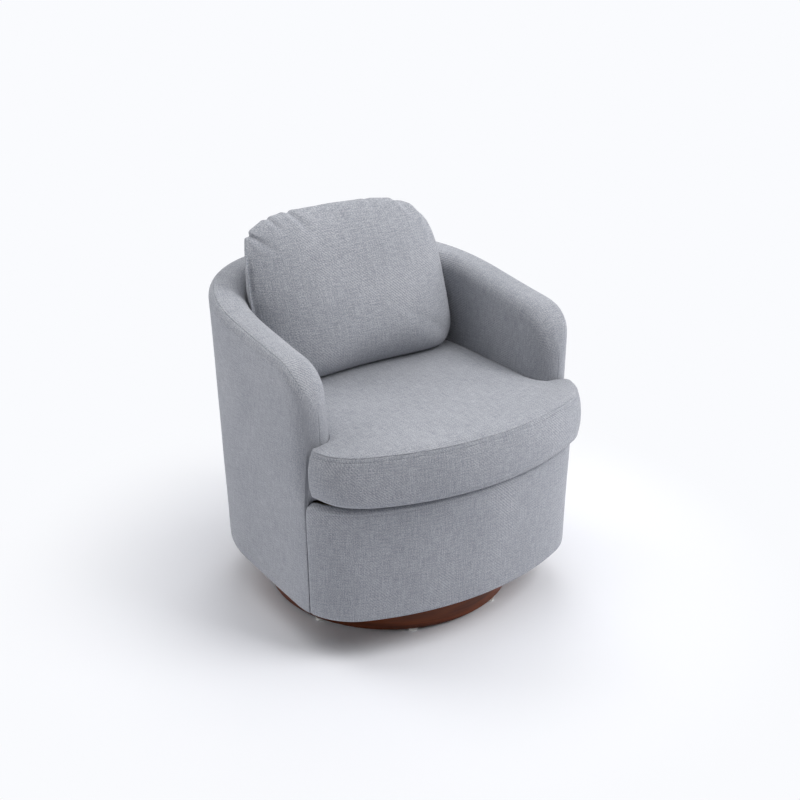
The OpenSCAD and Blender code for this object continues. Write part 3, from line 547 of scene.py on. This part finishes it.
# The roll below the seam, in degrees, and the line of topstitch above it, in degrees and depths
ROLL_TURNS = [46, 34, 22, 10]
TOPSTITCH = [(70, 0.05 * MM), (73, 0.35 * MM), (76, 0.05 * MM), (83, 0)]


def roll(h, turn, drawn):
    """A point on the outer part of the rim's roll."""
    a = math.radians(turn)
    r = rim_outer_r - drawn
    return rim_outer_r - r * math.cos(a), h - rim_outer_r + r * math.sin(a)


# Outer cover of the wall
OUTER_ROWS = 26
OUTER_MEASURED = 14
# Turns round the lower edge
EDGE_TURNS = (math.pi / 8, math.pi / 4, math.pi * 3 / 8, math.pi / 2)
# Above the deck, the cover passes from the body's outline to the nose's over this height
foot_blend_h = 40 * MM
outer_tuck_h = 8 * MM
outer_tuck_rise = 6 * MM
outer_face_depth = 1 * MM
outer_swell = 1.5 * MM
outer_swell_size = 130 * MM
outer_swell_top = 50 * MM
outer_swell_low = 60 * MM
OUTER_LEAST_SHARE = 0.3
# The side seam, where the apron starts: distance behind it, and how deep the cloth is drawn in
SIDE_SEAM = [(0, 1.8 * MM), (1.6 * MM, 0.8 * MM), (4.5 * MM, 0.1 * MM)]
side_seam_ahead = 3 * MM
side_seam_behind = 8 * MM


def outer_ring(p, low, foot, drawn=0.0):
    """One section of the outer cover. It follows the place p above the deck, and the place foot below it."""
    h = rim_h(p)
    seam = h - rim_outer_r
    knee = max(deck_h, low + 2 * lower_edge_r)
    points = [roll(h, SEAM_TURN - away, deep) for away, deep in SEAM_SIDES]
    points += [roll(h, turn, 0) for turn in ROLL_TURNS]
    points += [(0, mix(seam, low + lower_edge_r, i / OUTER_ROWS)) for i in range(OUTER_ROWS + 1)]
    points += [(lower_edge_r * (1 - math.cos(a)), low + lower_edge_r * (1 - math.sin(a)))
               for a in EDGE_TURNS]
    hem_top = low + hem_lift + cloth_t
    points += [(0.7 * hem_w, low), (hem_w, low + hem_lift), (hem_w, hem_top), (panel_t + cloth_t, hem_top),
               (panel_t, low + 0.6 * hem_w), (panel_t, mix(low, seam, 0.5)), (panel_t, seam - outer_tuck_h),
               (panel_t + outer_tuck_rise / 2, seam + outer_tuck_rise)]
    ring = []
    for depth, z in points:
        share = smooth((z - knee) / foot_blend_h)
        q = wall_point(foot, depth, z) * (1 - share) + wall_point(p, depth, z) * share
        if depth < outer_face_depth:
            fade = smooth((seam - z) / outer_swell_top) * smooth((z - low) / outer_swell_low)
            swell = unevenness(q, outer_swell, outer_swell_size) * fade + drawn * (1 - share)
            q = pushed(q, p, swell * max(p.share, OUTER_LEAST_SHARE))
        ring.append(q)
    return ring


def outer_cover():
    """Ahead of the side seam it ends on the deck. Behind the seam it runs down to the underside."""
    low_nose = deck_h + rest_gap
    ahead = nose_at(apron_seam + seam_gap)
    left = [outer_ring(p, low_nose, p) for p in arm_list if reach_ahead(p) > apron_seam + side_seam_ahead]
    left.append(outer_ring(ahead, low_nose, below(ahead)))
    for behind, drawn in SIDE_SEAM:
        place = nose_at(apron_seam - behind)
        left.append(outer_ring(place, underside_h, below(place), drawn))
    left += [outer_ring(p, underside_h, below(p)) for p in arm_list
             if reach_ahead(p) < apron_seam - side_seam_behind]
    rings = left + [outer_ring(p, underside_h, p) for p in back_list]
    rings += [[Vector((-q.x, q.y, q.z)) for q in r] for r in reversed(left)]
    return skin("outer_cover", rings, ring_uv(rings, OUTER_MEASURED))


# Inner cover: over the rim and down the inside, gathered where it turns in behind the noses.
# Each gather: its height at the tip, its depth, and its length along the wall
NOSE_GATHERS = [(552 * MM, 1.5 * MM, 30 * MM), (537 * MM, 2.6 * MM, 36 * MM), (521 * MM, 2.4 * MM, 34 * MM),
                (505 * MM, 2.6 * MM, 30 * MM), (490 * MM, 1.4 * MM, 22 * MM)]
NOSE_GATHER_RISE = 0.42
NOSE_GATHER_SPREAD = 0.05
# The swell beside a gather: its share of the depth, then its width and its places in half widths
NOSE_FOLD = (0.5, 1.6, (2.2,))
nose_gather_half_w = 2.8 * MM
nose_measured_h = 520 * MM
ROLL_STEPS = 8
INNER_ROWS = 30
INNER_MEASURED = 30
INNER_LEAST_SHARE = 0.25
inner_hem_w = 12 * MM
inner_tuck_h = 10 * MM
inner_tuck_rise = 4 * MM
inner_tuck_in = 3 * MM
inner_swell = 1.6 * MM
inner_swell_size = 110 * MM
inner_swell_low = 100 * MM
inner_swell_tip = 50 * MM
tip_crease_deep = 0.5 * MM
tip_crease_at = 4 * MM
tip_crease_w = 1.2 * MM


def inner_profile(p):
    """Depths and heights round one section of the inner cover."""
    h = rim_h(p)
    seam = h - rim_outer_r
    low = deck_h + rest_gap
    roll_depth = wall_t(h - rim_inner_r, h) - rim_inner_r
    points = [roll(h, SEAM_TURN + away, deep) for away, deep in SEAM_SIDES]
    points += [roll(h, turn, deep) for turn, deep in TOPSTITCH]
    for i in range(ROLL_STEPS + 1):
        a = math.pi / 2 * (1 - i / ROLL_STEPS)
        points.append((roll_depth + rim_inner_r * math.cos(a), h - rim_inner_r + rim_inner_r * math.sin(a)))
    heights = [mix(h - rim_inner_r, low, i / INNER_ROWS) for i in range(1, INNER_ROWS + 1)]
    points += [(wall_t(z, h), z) for z in heights]
    back = panel_t + cloth_t
    points += [(wall_t(low, h) - inner_hem_w, low), (back + cloth_t, low), (back, low + hem_w),
               (back, seam - inner_tuck_h), (back + inner_tuck_in, seam + inner_tuck_rise)]
    return points


def inner_pull(q, from_tip):
    """How far the cloth is raised, or drawn in where negative, at a point this far from the nose's tip."""
    pull = 0.0
    for height, deep, length in NOSE_GATHERS:
        half_w = nose_gather_half_w + from_tip * NOSE_GATHER_SPREAD
        across = (q.z - height - NOSE_GATHER_RISE * from_tip) / half_w
        pull -= fold(across, *NOSE_FOLD) * deep * (1 - smooth(from_tip / length))
    fade = smooth((q.z - deck_h) / inner_swell_low) * smooth(from_tip / inner_swell_tip)
    crease = tip_crease_deep * math.exp(-((from_tip - tip_crease_at) / tip_crease_w) ** 2)
    return pull + unevenness(q, inner_swell, inner_swell_size) * fade - crease


def inner_ring(p, from_tip):
    ring = []
    for depth, z in inner_profile(p):
        q = wall_point(p, depth, z)
        pull = inner_pull(q, from_tip) if depth > rim_outer_r else 0
        ring.append(pushed(q, p, pull * max(p.share, INNER_LEAST_SHARE)))
    return ring


def inner_cover():
    inside = [wall_point(p, wall_t(nose_measured_h, rim_h(p)), nose_measured_h) for p in wall_list]
    tips = lengths_along(inside)
    rings = [inner_ring(p, min(t, tips[-1] - t)) for p, t in zip(wall_list, tips)]
    return skin("inner_cover", rings, ring_uv(rings, INNER_MEASURED))


# Apron with rounded top corners and a line of stitch under its top edge
# Turns round the body's corner from the apron's end, close together where its own corner is round
APRON_END_TURNS = (0, 0.003, 0.009, 0.02, 0.04, 0.07, 0.11)
APRON_END_STEP = 0.05
APRON_CORNER_STEPS = 12
APRON_FRONT_STEPS = 28
APRON_ROWS = 20
APRON_TOP_STEPS = 6
APRON_MEASURED = 8
APRON_CORNER_FALL = 0.6
apron_end_r = 22 * MM
apron_gap = 0.4 * MM
apron_seam_deep = 1.8 * MM
apron_seam_w = 5 * MM
apron_stitch_up = 1 * MM
apron_stitch_half_w = 2 * MM
apron_stitch_deep = 1.3 * MM
apron_stitch_side = 0.1 * MM
apron_stitch_clear = 6 * MM
apron_face_depth = 4 * MM
apron_swell = 1.6 * MM
apron_swell_size = 120 * MM
apron_swell_low = 60 * MM
apron_swell_end = 40 * MM
apron_swell_clear_low = 20 * MM
apron_swell_clear_top = 10 * MM


def apron_ring(p, end):
    """One section of the apron, at a distance from its nearer end."""
    fall = apron_end_r - math.sqrt(max(apron_end_r ** 2 - max(apron_end_r - end, 0) ** 2, 0))
    top = deck_h - apron_gap - fall * APRON_CORNER_FALL
    drawn = apron_seam_deep * (1 - smooth(end / apron_seam_w))
    stitch = top - apron_top_r + apron_stitch_up
    roll_low = stitch + apron_stitch_half_w
    face_low, face_top = underside_h + lower_edge_r, stitch - apron_stitch_clear
    points = [(drawn, mix(face_low, face_top, i / APRON_ROWS)) for i in range(APRON_ROWS + 1)]
    points += [(drawn + apron_stitch_side, stitch - apron_stitch_half_w),
               (drawn + apron_stitch_deep, stitch), (drawn + apron_stitch_side, roll_low)]
    for k in range(1, APRON_TOP_STEPS + 1):
        a = math.pi / 2 * k / APRON_TOP_STEPS
        points.append((drawn + apron_top_r * (1 - math.cos(a)), mix(roll_low, top, math.sin(a))))
    points += [(apron_t, top), (apron_t, mix(top, underside_h, 0.5)),
               (apron_t, underside_h + hem_lift + cloth_t), (apron_t - cloth_t, underside_h + apron_gap)]
    points += [(drawn + lower_edge_r * (1 - math.sin(a)), underside_h + lower_edge_r * (1 - math.cos(a)))
               for a in (0,) + EDGE_TURNS[:-1]]
    ring = []
    for depth, z in points:
        q = wall_point(p, depth, z)
        swell_low, swell_top = underside_h + apron_swell_clear_low, stitch - apron_swell_clear_top
        if depth < apron_face_depth and swell_low < z < swell_top:
            fade = smooth((z - underside_h) / apron_swell_low) * smooth(end / apron_swell_end)
            q = pushed(q, p, unevenness(q, apron_swell, apron_swell_size) * fade)
        ring.append(q)
    return ring


def apron_cover():
    start = math.asin((-apron_seam - 2 * seam_gap - body_corner_y) / front_corner_r)
    turns = [start - a for a in APRON_END_TURNS]
    ends = [mirrored(outline_place(body_corner_y + front_corner_r * math.sin(a))) for a in turns]
    rest = front_places(body_half_w, body_front, front_curve_r, front_corner_r, turns[-1] - APRON_END_STEP,
                        APRON_CORNER_STEPS, APRON_FRONT_STEPS)
    places = ends + rest + [mirrored(p) for p in reversed(ends)]
    along = lengths_along([wall_point(p, 0, deck_h) for p in places])
    rings = [apron_ring(p, min(s, along[-1] - s)) for p, s in zip(places, along)]
    return skin("apron_cover", rings, ring_uv(rings, APRON_MEASURED, -1), ends=True)


# Seat cushion
seat_seam_h = 461 * MM
bottom_seam_h = deck_h + 20 * MM
cushion_low = deck_h + rest_gap
seat_crown = 12 * MM
seat_edge_rise = 4.9 * MM
crown_half_w = 1.15 * body_half_w
crown_middle_y = -body_front / 4
crown_half_l = 1.05 * body_front
cushion_half_w = body_half_w + 1 * MM
cushion_front = body_front + 15 * MM
# The front stands this much further out at the bottom seam
cushion_toe = 10 * MM
cushion_corner_r = 134 * MM
cushion_bulge = 8 * MM
cushion_gap = 0.8 * MM
nose_front = max(reach_ahead(p) for p in nose_list[1:])
ear_back = nose_front + 2 * cushion_gap
ear_r = 14 * MM
ear_tuck = 6 * MM
ear_tuck_l = 45 * MM
cushion_centre = Vector((0, -ear_back - 3 * MM, 0))
TIP_SHARE = 0.2
EAR_SHARES = (0, 0.2, 0.4, 0.6, 0.8)
CUSHION_CORNER_STEPS = 16
CUSHION_FRONT_STEPS = 40
# The underside: shares of the outline, and of the drop from the bottom seam to the deck
UNDERSIDE_SHARES = [(0.004, 1), (0.05, 1), (0.3, 1), (0.6, 1), (0.86, 1), (0.93, 0.85), (0.975, 0.45)]
# The top: shares of the outline. The rise beside the seam is whole after a 14th of the way in, and the crown
# follows by a high power.
TOP_SHARES = (0.93, 0.88, 0.82, 0.75, 0.67, 0.58, 0.48, 0.38, 0.28, 0.18, 0.08, 0.03, 0.004)
EDGE_RISE_RATE = 14
CROWN_POWER = 8
# The bottom seam's groove and welt, and the line of stitch below the top seam
bottom_groove = 2 * MM
bottom_welt = 2.2 * MM
bottom_welt_drop = 1.2 * MM
band_stitch_below = 7 * MM
band_stitch_half_w = 0.8 * MM
band_stitch_deep = 1.7 * MM
band_top_row = 2.5 * MM
BAND_STEPS = 13
BULGE_START_SHARE = 0.03
# The top seam's groove and lip: distance inward, and height over the seam
TOP_LIP = [(0.9 * MM, 0.6 * MM), (-1.2 * MM, 1.4 * MM), (0.6 * MM, 2.8 * MM), (3 * MM, 3.6 * MM),
           (6.5 * MM, 4.4 * MM)]


def cushion_side(p, z):
    """A point of the cushion's outline inside the tub, or behind an ear near a nose's tip."""
    forward = math.sqrt(max(0, 1 - p.share ** 2))
    q = wall_point(p, wall_t(z, rim_h(p)) + cushion_gap, z)
    return Vector((q.x, -ear_back if p.share < TIP_SHARE else q.y - 2 * cushion_gap * forward, z))


def cushion_outline(z, bulge):
    """The T in plan: round the inside of the tub, then round the front, with an ear ahead of each nose."""
    t = (z - bottom_seam_h) / (seat_seam_h - bottom_seam_h)
    front = cushion_front + cushion_toe * (1 - t) + bulge
    half_w = cushion_half_w + bulge
    cy = corner_centre_y(front, front_curve_r, cushion_corner_r, half_w - cushion_corner_r)
    start = math.asin(clamp((-ear_back - ear_r - cy) / cushion_corner_r, -0.9, 0))
    side = [cushion_side(p, z) for p in wall_list[1:-1]]
    front_line = []
    for p in front_places(half_w, front, front_curve_r, cushion_corner_r, start, CUSHION_CORNER_STEPS,
                          CUSHION_FRONT_STEPS):
        tuck = ear_tuck * (1 - smooth((-p.y - ear_back - ear_r) / ear_tuck_l))
        front_line.append(Vector((p.x - math.copysign(tuck, p.x), p.y, z)))
    ears = []
    for end in (front_line[0], front_line[-1]):
        corner = Vector((end.x, -ear_back, z))
        near = Vector((end.x - math.copysign(ear_r, end.x), -ear_back, z))
        ears.append([near * (1 - u) ** 2 + corner * 2 * u * (1 - u) + end * u * u for u in EAR_SHARES])
    return side + ears[0] + front_line + ears[1][::-1]


def crown_share(x, y):
    """The crown's height over the seat, from 1 in its middle to 0 past its edges."""
    return (max(0, 1 - (x / crown_half_w) ** 2)
            * max(0, 1 - ((y - crown_middle_y) / crown_half_l) ** 2))


def seat_top(x, y, edge=1.0, inner=1.0):
    """The seat's height. edge and inner are shares of the rise beside the seam and of the crown."""
    return seat_seam_h + seat_edge_rise * edge + (seat_crown - seat_edge_rise) * crown_share(x, y) * inner


def signed_area(ring):
    return sum(a.x * b.y - b.x * a.y for a, b in zip(ring, ring[1:] + ring[:1])) / 2


def inset_ring(ring, amount, lift=0.0):
    """Each point moved inward, level, square to the outline, then up."""
    out = []
    amount = math.copysign(1, signed_area(ring)) * amount
    for i, q in enumerate(ring):
        along = ring[(i + 1) % len(ring)] - ring[i - 1]
        along.z = 0
        along.normalize()
        out.append(q + Vector((-along.y, along.x, 0)) * amount + Vector((0, 0, lift)))
    return out


def shrunk(ring, share):
    """The ring laid flat on the floor and drawn in towards the cushion's centre."""
    return [cushion_centre + (Vector((q.x, q.y, 0)) - cushion_centre) * share for q in ring]


def cushion_edge(low_outline, top_outline):
    """The rings of the boxed band, from the bottom seam's welt to the top seam's groove."""
    band = seat_seam_h - bottom_seam_h
    stitch = band - band_stitch_below
    rows = [(band * k / BAND_STEPS, 0) for k in range(BAND_STEPS - 1)]
    rows += [(stitch - band_stitch_half_w, 0), (stitch, band_stitch_deep), (stitch + band_stitch_half_w, 0),
             (band - band_top_row, 0), (band, 0)]
    rings = [inset_ring(low_outline, -bottom_welt, -bottom_welt_drop)]
    for h, sunk in rows:
        turn = math.pi * mix(BULGE_START_SHARE, 1 - BULGE_START_SHARE, h / band)
        rings.append(cushion_outline(bottom_seam_h + h, cushion_bulge * math.sin(turn) ** 0.7 - sunk))
    return rings + [inset_ring(top_outline, *TOP_LIP[0])]


def seat_cushion():
    low_outline = cushion_outline(bottom_seam_h, 0)
    top_outline = cushion_outline(seat_seam_h, 0)
    under = []
    for share, drop in UNDERSIDE_SHARES:
        z = mix(bottom_seam_h, cushion_low, drop)
        under.append([Vector((q.x, q.y, z)) for q in shrunk(low_outline, share)])
    under.append(inset_ring(low_outline, bottom_groove))
    edge = cushion_edge(low_outline, top_outline)
    top = [inset_ring(top_outline, inward, lift) for inward, lift in TOP_LIP[1:]]
    for share in TOP_SHARES:
        edge_rise, crown = smooth((1 - share) * EDGE_RISE_RATE), 1 - share ** CROWN_POWER
        top.append([Vector((q.x, q.y, seat_top(q.x, q.y, edge_rise, crown)))
                    for q in shrunk(top_outline, share)])
    around = lengths_along(top_outline + [top_outline[0]])
    uv = []
    for rings, on_band in ((under, False), (edge, True), (top, False)):
        for ring in rings:
            closed = ring + [ring[0]]
            uv.append([(-s, q.z) if on_band else (q.x, q.y) for s, q in zip(around, closed)])
    return skin("seat_cushion_cover", under + edge + top, uv, ends=True)


# Back pillow
pillow_half_w = body_half_w - 87 * MM
pillow_h = 334 * MM
pillow_t = 172 * MM
pillow_taper = 0.02
pillow_lean = math.tan(math.radians(17))
pillow_bend = 20 * MM
pillow_back = 171 * MM
pillow_low = seat_seam_h + seat_crown * 0.35
pillow_mid_z = pillow_low + pillow_h / 2
# How square the outline is, where 2 is an ellipse
top_squareness = 3.4
side_squareness = 4.2
bottom_squareness = 7
middle_squareness = 2.3
# How full the pillow is towards its edge, and how sharp the edge is, on its sides and top, then on its foot
pillow_fullness, pillow_sharpness = 2.6, 0.62
foot_fullness, foot_sharpness = 4.2, 0.52
PILLOW_STEPS = 54
WELT_SHARE = 1.008
CORE_SHARE = 0.8
# The belly stands out on the face's lower half. Its middle and its spread are shares of half the height.
belly = 32 * MM
BELLY_LOW_SHARE = 0.42
BELLY_SPREAD_SHARE = 0.58
# The foot stands ahead, more so on the left
foot_ahead = 4 * MM
foot_ahead_left = 12 * MM
foot_left_at = 200 * MM
# The pillow slumps a little to the left, less so on its right side
slump = 16 * MM
RIGHT_SLUMP_SHARE = 0.15
pillow_swell = 2.2 * MM
pillow_swell_size = 100 * MM
# Above the rim it has a little more room behind
over_rim_room = 12 * MM
over_rim_from = 610 * MM
over_rim_h = 50 * MM
# The back face takes its cloth from further along
back_cloth_shift = 700 * MM
# Each gather of the top seam: its x, depth and length in mm, and the way it runs down the face
PILLOW_GATHERS = [(-204, 5.5, 56, 0.78, -0.62), (-150, 3.6, 40, 0.62, -0.78), (-98, 5.5, 50, 0.55, -0.83),
                  (-40, 2.4, 30, 0.3, -0.95), (12, 6.0, 40, -0.4, -0.92), (90, 2.4, 30, 0.1, -1.0),
                  (160, 5.0, 46, 0.62, -0.78), (208, 5.0, 54, 0.25, -0.97)]
PILLOW_GATHER_SPREAD = 0.12
# The swells beside a gather: their share of the depth, then their width and their places in half widths
PILLOW_FOLD = (0.35, 1.2, (-2, 2))
pillow_gather_half_w = 4.6 * MM


def tub_back_y(x, z):
    """The inside of the tub's back over x, at a height."""
    level = min(z, arm_rim_h - rim_inner_r)
    inner_t = wall_t(level, arm_rim_h)
    half_w = body_half_w + arm_lean * (level - underside_h) - inner_t
    depth = back_depth + back_lean * (level - underside_h) - inner_t
    beside = min(1, abs(x) / half_w)
    return depth * (1 - beside ** back_squareness) ** (1 / back_squareness) + widest_behind


def pillow_edge(a, s=1.0):
    """The pillow's outline, or with s below 1 a rounder line within it, still at the outline's size."""
    upper = math.sin(a) > 0
    ends, sides = (top_squareness, side_squareness) if upper else (bottom_squareness, bottom_squareness)
    v = power(math.sin(a), 2 / mix(middle_squareness, ends, s ** 2))
    taper = pillow_taper * v if upper else 0
    x = pillow_half_w * power(math.cos(a), 2 / mix(middle_squareness, sides, s ** 2)) * (1 - taper)
    return x, pillow_h / 2 * v


def over_x(x):
    """The point of the pillow's outline over x, on its upper half, found by halving."""
    low, high = 0.0, math.pi
    for _ in range(40):
        middle = (low + high) / 2
        low, high = (middle, high) if pillow_edge(middle)[0] > x else (low, middle)
    return Vector(pillow_edge(low))


gathers = [(over_x(x * MM), Vector((way_x, way_z)).normalized(), deep * MM, length * MM)
           for x, deep, length, way_x, way_z in PILLOW_GATHERS]


def gathered(x, z):
    """How far the gathers draw the cloth in at a place on the face."""
    total = 0.0
    for start, way, deep, length in gathers:
        away = Vector((x, z)) - start
        along = away.dot(way)
        half_w = pillow_gather_half_w + PILLOW_GATHER_SPREAD * max(along, 0)
        across = (away.x * way.y - away.y * way.x) / half_w
        total += fold(across, *PILLOW_FOLD) * deep * (1 - smooth(along / length))
    return total


def pillow_point(a, s, face):
    """A point of the pillow at an angle and a share s of the way out. Face -1 is the front, 1 the back."""
    ex, ez = pillow_edge(a, s)
    grown = s * WELT_SHARE if s > 0.999 else s
    ex, ez = ex * grown, ez * grown
    up = 2 * ez / pillow_h
    foot = smooth((-math.sin(a) - 0.5) / 0.5)
    fullness = mix(pillow_fullness, foot_fullness, foot)
    half_t = pillow_t / 2 * max(0, 1 - s ** fullness) ** mix(pillow_sharpness, foot_sharpness, foot)
    if face < 0:
        half_t += belly * math.exp(-((up + BELLY_LOW_SHARE) / BELLY_SPREAD_SHARE) ** 2) * (1 - s ** 4)
    ahead = smooth((-up - 0.1) / 0.9) * (foot_ahead + foot_ahead_left * clamp(-ex / foot_left_at, 0, 1))
    mid = pillow_back + pillow_lean * ez - pillow_bend * (ex / pillow_half_w) ** 2 - ahead
    x = ex - slump * (up + 1) / 2 * mix(1, RIGHT_SLUMP_SHARE, smooth(0.5 + ex / pillow_half_w))
    q = Vector((x, mid + face * half_t, pillow_mid_z + ez))
    core = Vector((x * CORE_SHARE, mid, pillow_mid_z + ez * CORE_SHARE))
    swell = unevenness(q, pillow_swell, pillow_swell_size) * (1 - s ** 6)
    q += (core - q).normalized() * (gathered(ex, ez) + swell)
    room = over_rim_room * smooth((q.z - over_rim_from) / over_rim_h)
    q.y = min(q.y, tub_back_y(q.x, q.z) - cushion_gap + room)
    q.z = max(q.z, seat_top(q.x, q.y) + rest_gap)
    return q


def back_pillow():
    bm = bmesh.new()
    layer = bm.loops.layers.uv.new("weave")
    for face in (-1, 1):
        before = set(bm.verts)
        bmesh.ops.create_grid(bm, x_segments=2 * PILLOW_STEPS, y_segments=2 * PILLOW_STEPS, size=1)
        fresh = [v for v in bm.verts if v not in before]
        flat = {}
        for v in fresh:
            u, w = v.co.x, v.co.y
            s = max(abs(u), abs(w))
            a = math.atan2(w, u) if s else 0.0
            ex, ez = pillow_edge(a, s)
            flat[v] = (ex * s + (back_cloth_shift if face > 0 else 0), ez * s)
            v.co = pillow_point(a, s, face)
        for f in {f for v in fresh for f in v.link_faces}:
            f.smooth = True
            for loop in f.loops:
                loop[layer].uv = flat[loop.vert]
    bmesh.ops.remove_doubles(bm, verts=bm.verts, dist=PILLOW_WELD)
    return sewn("back_pillow_cover", bm)


for make, body, node, fill in (
        (outer_cover, "chair", "outer_panel", 0.9),
        (inner_cover, "chair", "inner_pad", 0.8),
        (apron_cover, "chair", "apron_pad", 0.9),
        (seat_cushion, "cushion", "seat_cushion", 0.8),
        (back_pillow, "pillow", "back_pillow", 0.6)):
    piece = make()
    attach(piece, body)
    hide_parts(node)

# Studio: pale floor under soft light, mostly from above and ahead on the right
WHITE = "#fafbfe"
FLOOR_HALF_W = 12
FADE_FROM = 0.34
FADE_TO = 0.95
AIM = Vector((0, 0, 0.4))
# Each softbox: its place, its width and its watts
SOFTBOXES = {"overhead_softbox": ((0, 0, 3.2), 3.0, 37),
             "key_softbox": ((1.6, -2.2, 3.0), 2.0, 95),
             "right_softbox": ((2.8, -0.8, 0.9), 1.4, 28),
             "left_softbox": ((-2.8, 0.2, 0.9), 1.4, 18),
             "back_right_softbox": ((1.6, 2.2, 2.8), 2.0, 30),
             "back_left_softbox": ((-1.6, 2.2, 2.8), 2.0, 44)}


def floor_material():
    """Matt white paper floor. It keeps the shadow near the chair. The camera sees it fade to white further
    out."""
    material, tree, shader = new_material("matt_white_floor")
    shader.inputs["Base Color"].default_value = linear("#f2f3f8")
    shader.inputs["Roughness"].default_value = 0.9
    shader.inputs["Specular IOR Level"].default_value = 0.1
    place = add(tree, "TexCoord").outputs["Object"]
    away = add(tree, "VectorMath", {"operation": "LENGTH"}, i0=place).outputs["Value"]
    faded = add(tree, "MapRange", {"interpolation_type": "SMOOTHSTEP"}, i0=away, i1=FADE_FROM, i2=FADE_TO,
                i3=0.0, i4=1.0).outputs[0]
    by_camera = add(tree, "LightPath").outputs["Is Camera Ray"]
    share = add(tree, "Math", {"operation": "MULTIPLY"}, i0=faded, i1=by_camera).outputs[0]
    white = add(tree, "Emission", Color=linear(WHITE), Strength=1.0)
    both = add(tree, "MixShader", i0=share, i1=shader.outputs[0], i2=white.outputs[0])
    out = next(n for n in tree.nodes if n.type == "OUTPUT_MATERIAL")
    tree.links.new(both.outputs[0], out.inputs["Surface"])
    return material


def add_floor():
    bm = bmesh.new()
    bmesh.ops.create_grid(bm, x_segments=1, y_segments=1, size=FLOOR_HALF_W)
    mesh = bpy.data.meshes.new("floor")
    bm.to_mesh(mesh)
    bm.free()
    mesh.materials.append(floor_material())
    floor = bpy.data.objects.new("floor", mesh)
    bpy.context.scene.collection.objects.link(floor)


def add_softbox(name, place, width, watts):
    data = bpy.data.lights.new(name, "AREA")
    data.shape = "SQUARE"
    data.size = width
    data.energy = watts
    light = bpy.data.objects.new(name, data)
    light.location = place
    light.rotation_euler = (Vector(place) - AIM).to_track_quat("Z", "Y").to_euler()
    bpy.context.scene.collection.objects.link(light)


def add_world():
    """White to the camera, also by a shine or through glass, and dim where it lights the chair."""
    world = bpy.data.worlds.new("studio")
    world.use_nodes = True
    tree = world.node_tree
    tree.nodes.clear()
    rays = add(tree, "LightPath").outputs
    either = add(tree, "Math", {"operation": "MAXIMUM"}, i0=rays["Is Camera Ray"], i1=rays["Is Glossy Ray"])
    seen = add(tree, "Math", {"operation": "MAXIMUM"}, i0=either.outputs[0], i1=rays["Is Transmission Ray"])
    lit = add(tree, "Background", Color=linear("#f4f6fa"), Strength=0.05)
    white = add(tree, "Background", Color=linear(WHITE), Strength=1.0)
    both = add(tree, "MixShader", i0=seen.outputs[0], i1=lit.outputs[0], i2=white.outputs[0])
    add(tree, "OutputWorld", Surface=both.outputs[0])
    bpy.context.scene.world = world


add_floor()
add_world()
for name, (place, width, watts) in SOFTBOXES.items():
    add_softbox(name, place, width, watts)
bpy.context.scene.view_settings.view_transform = "Standard"
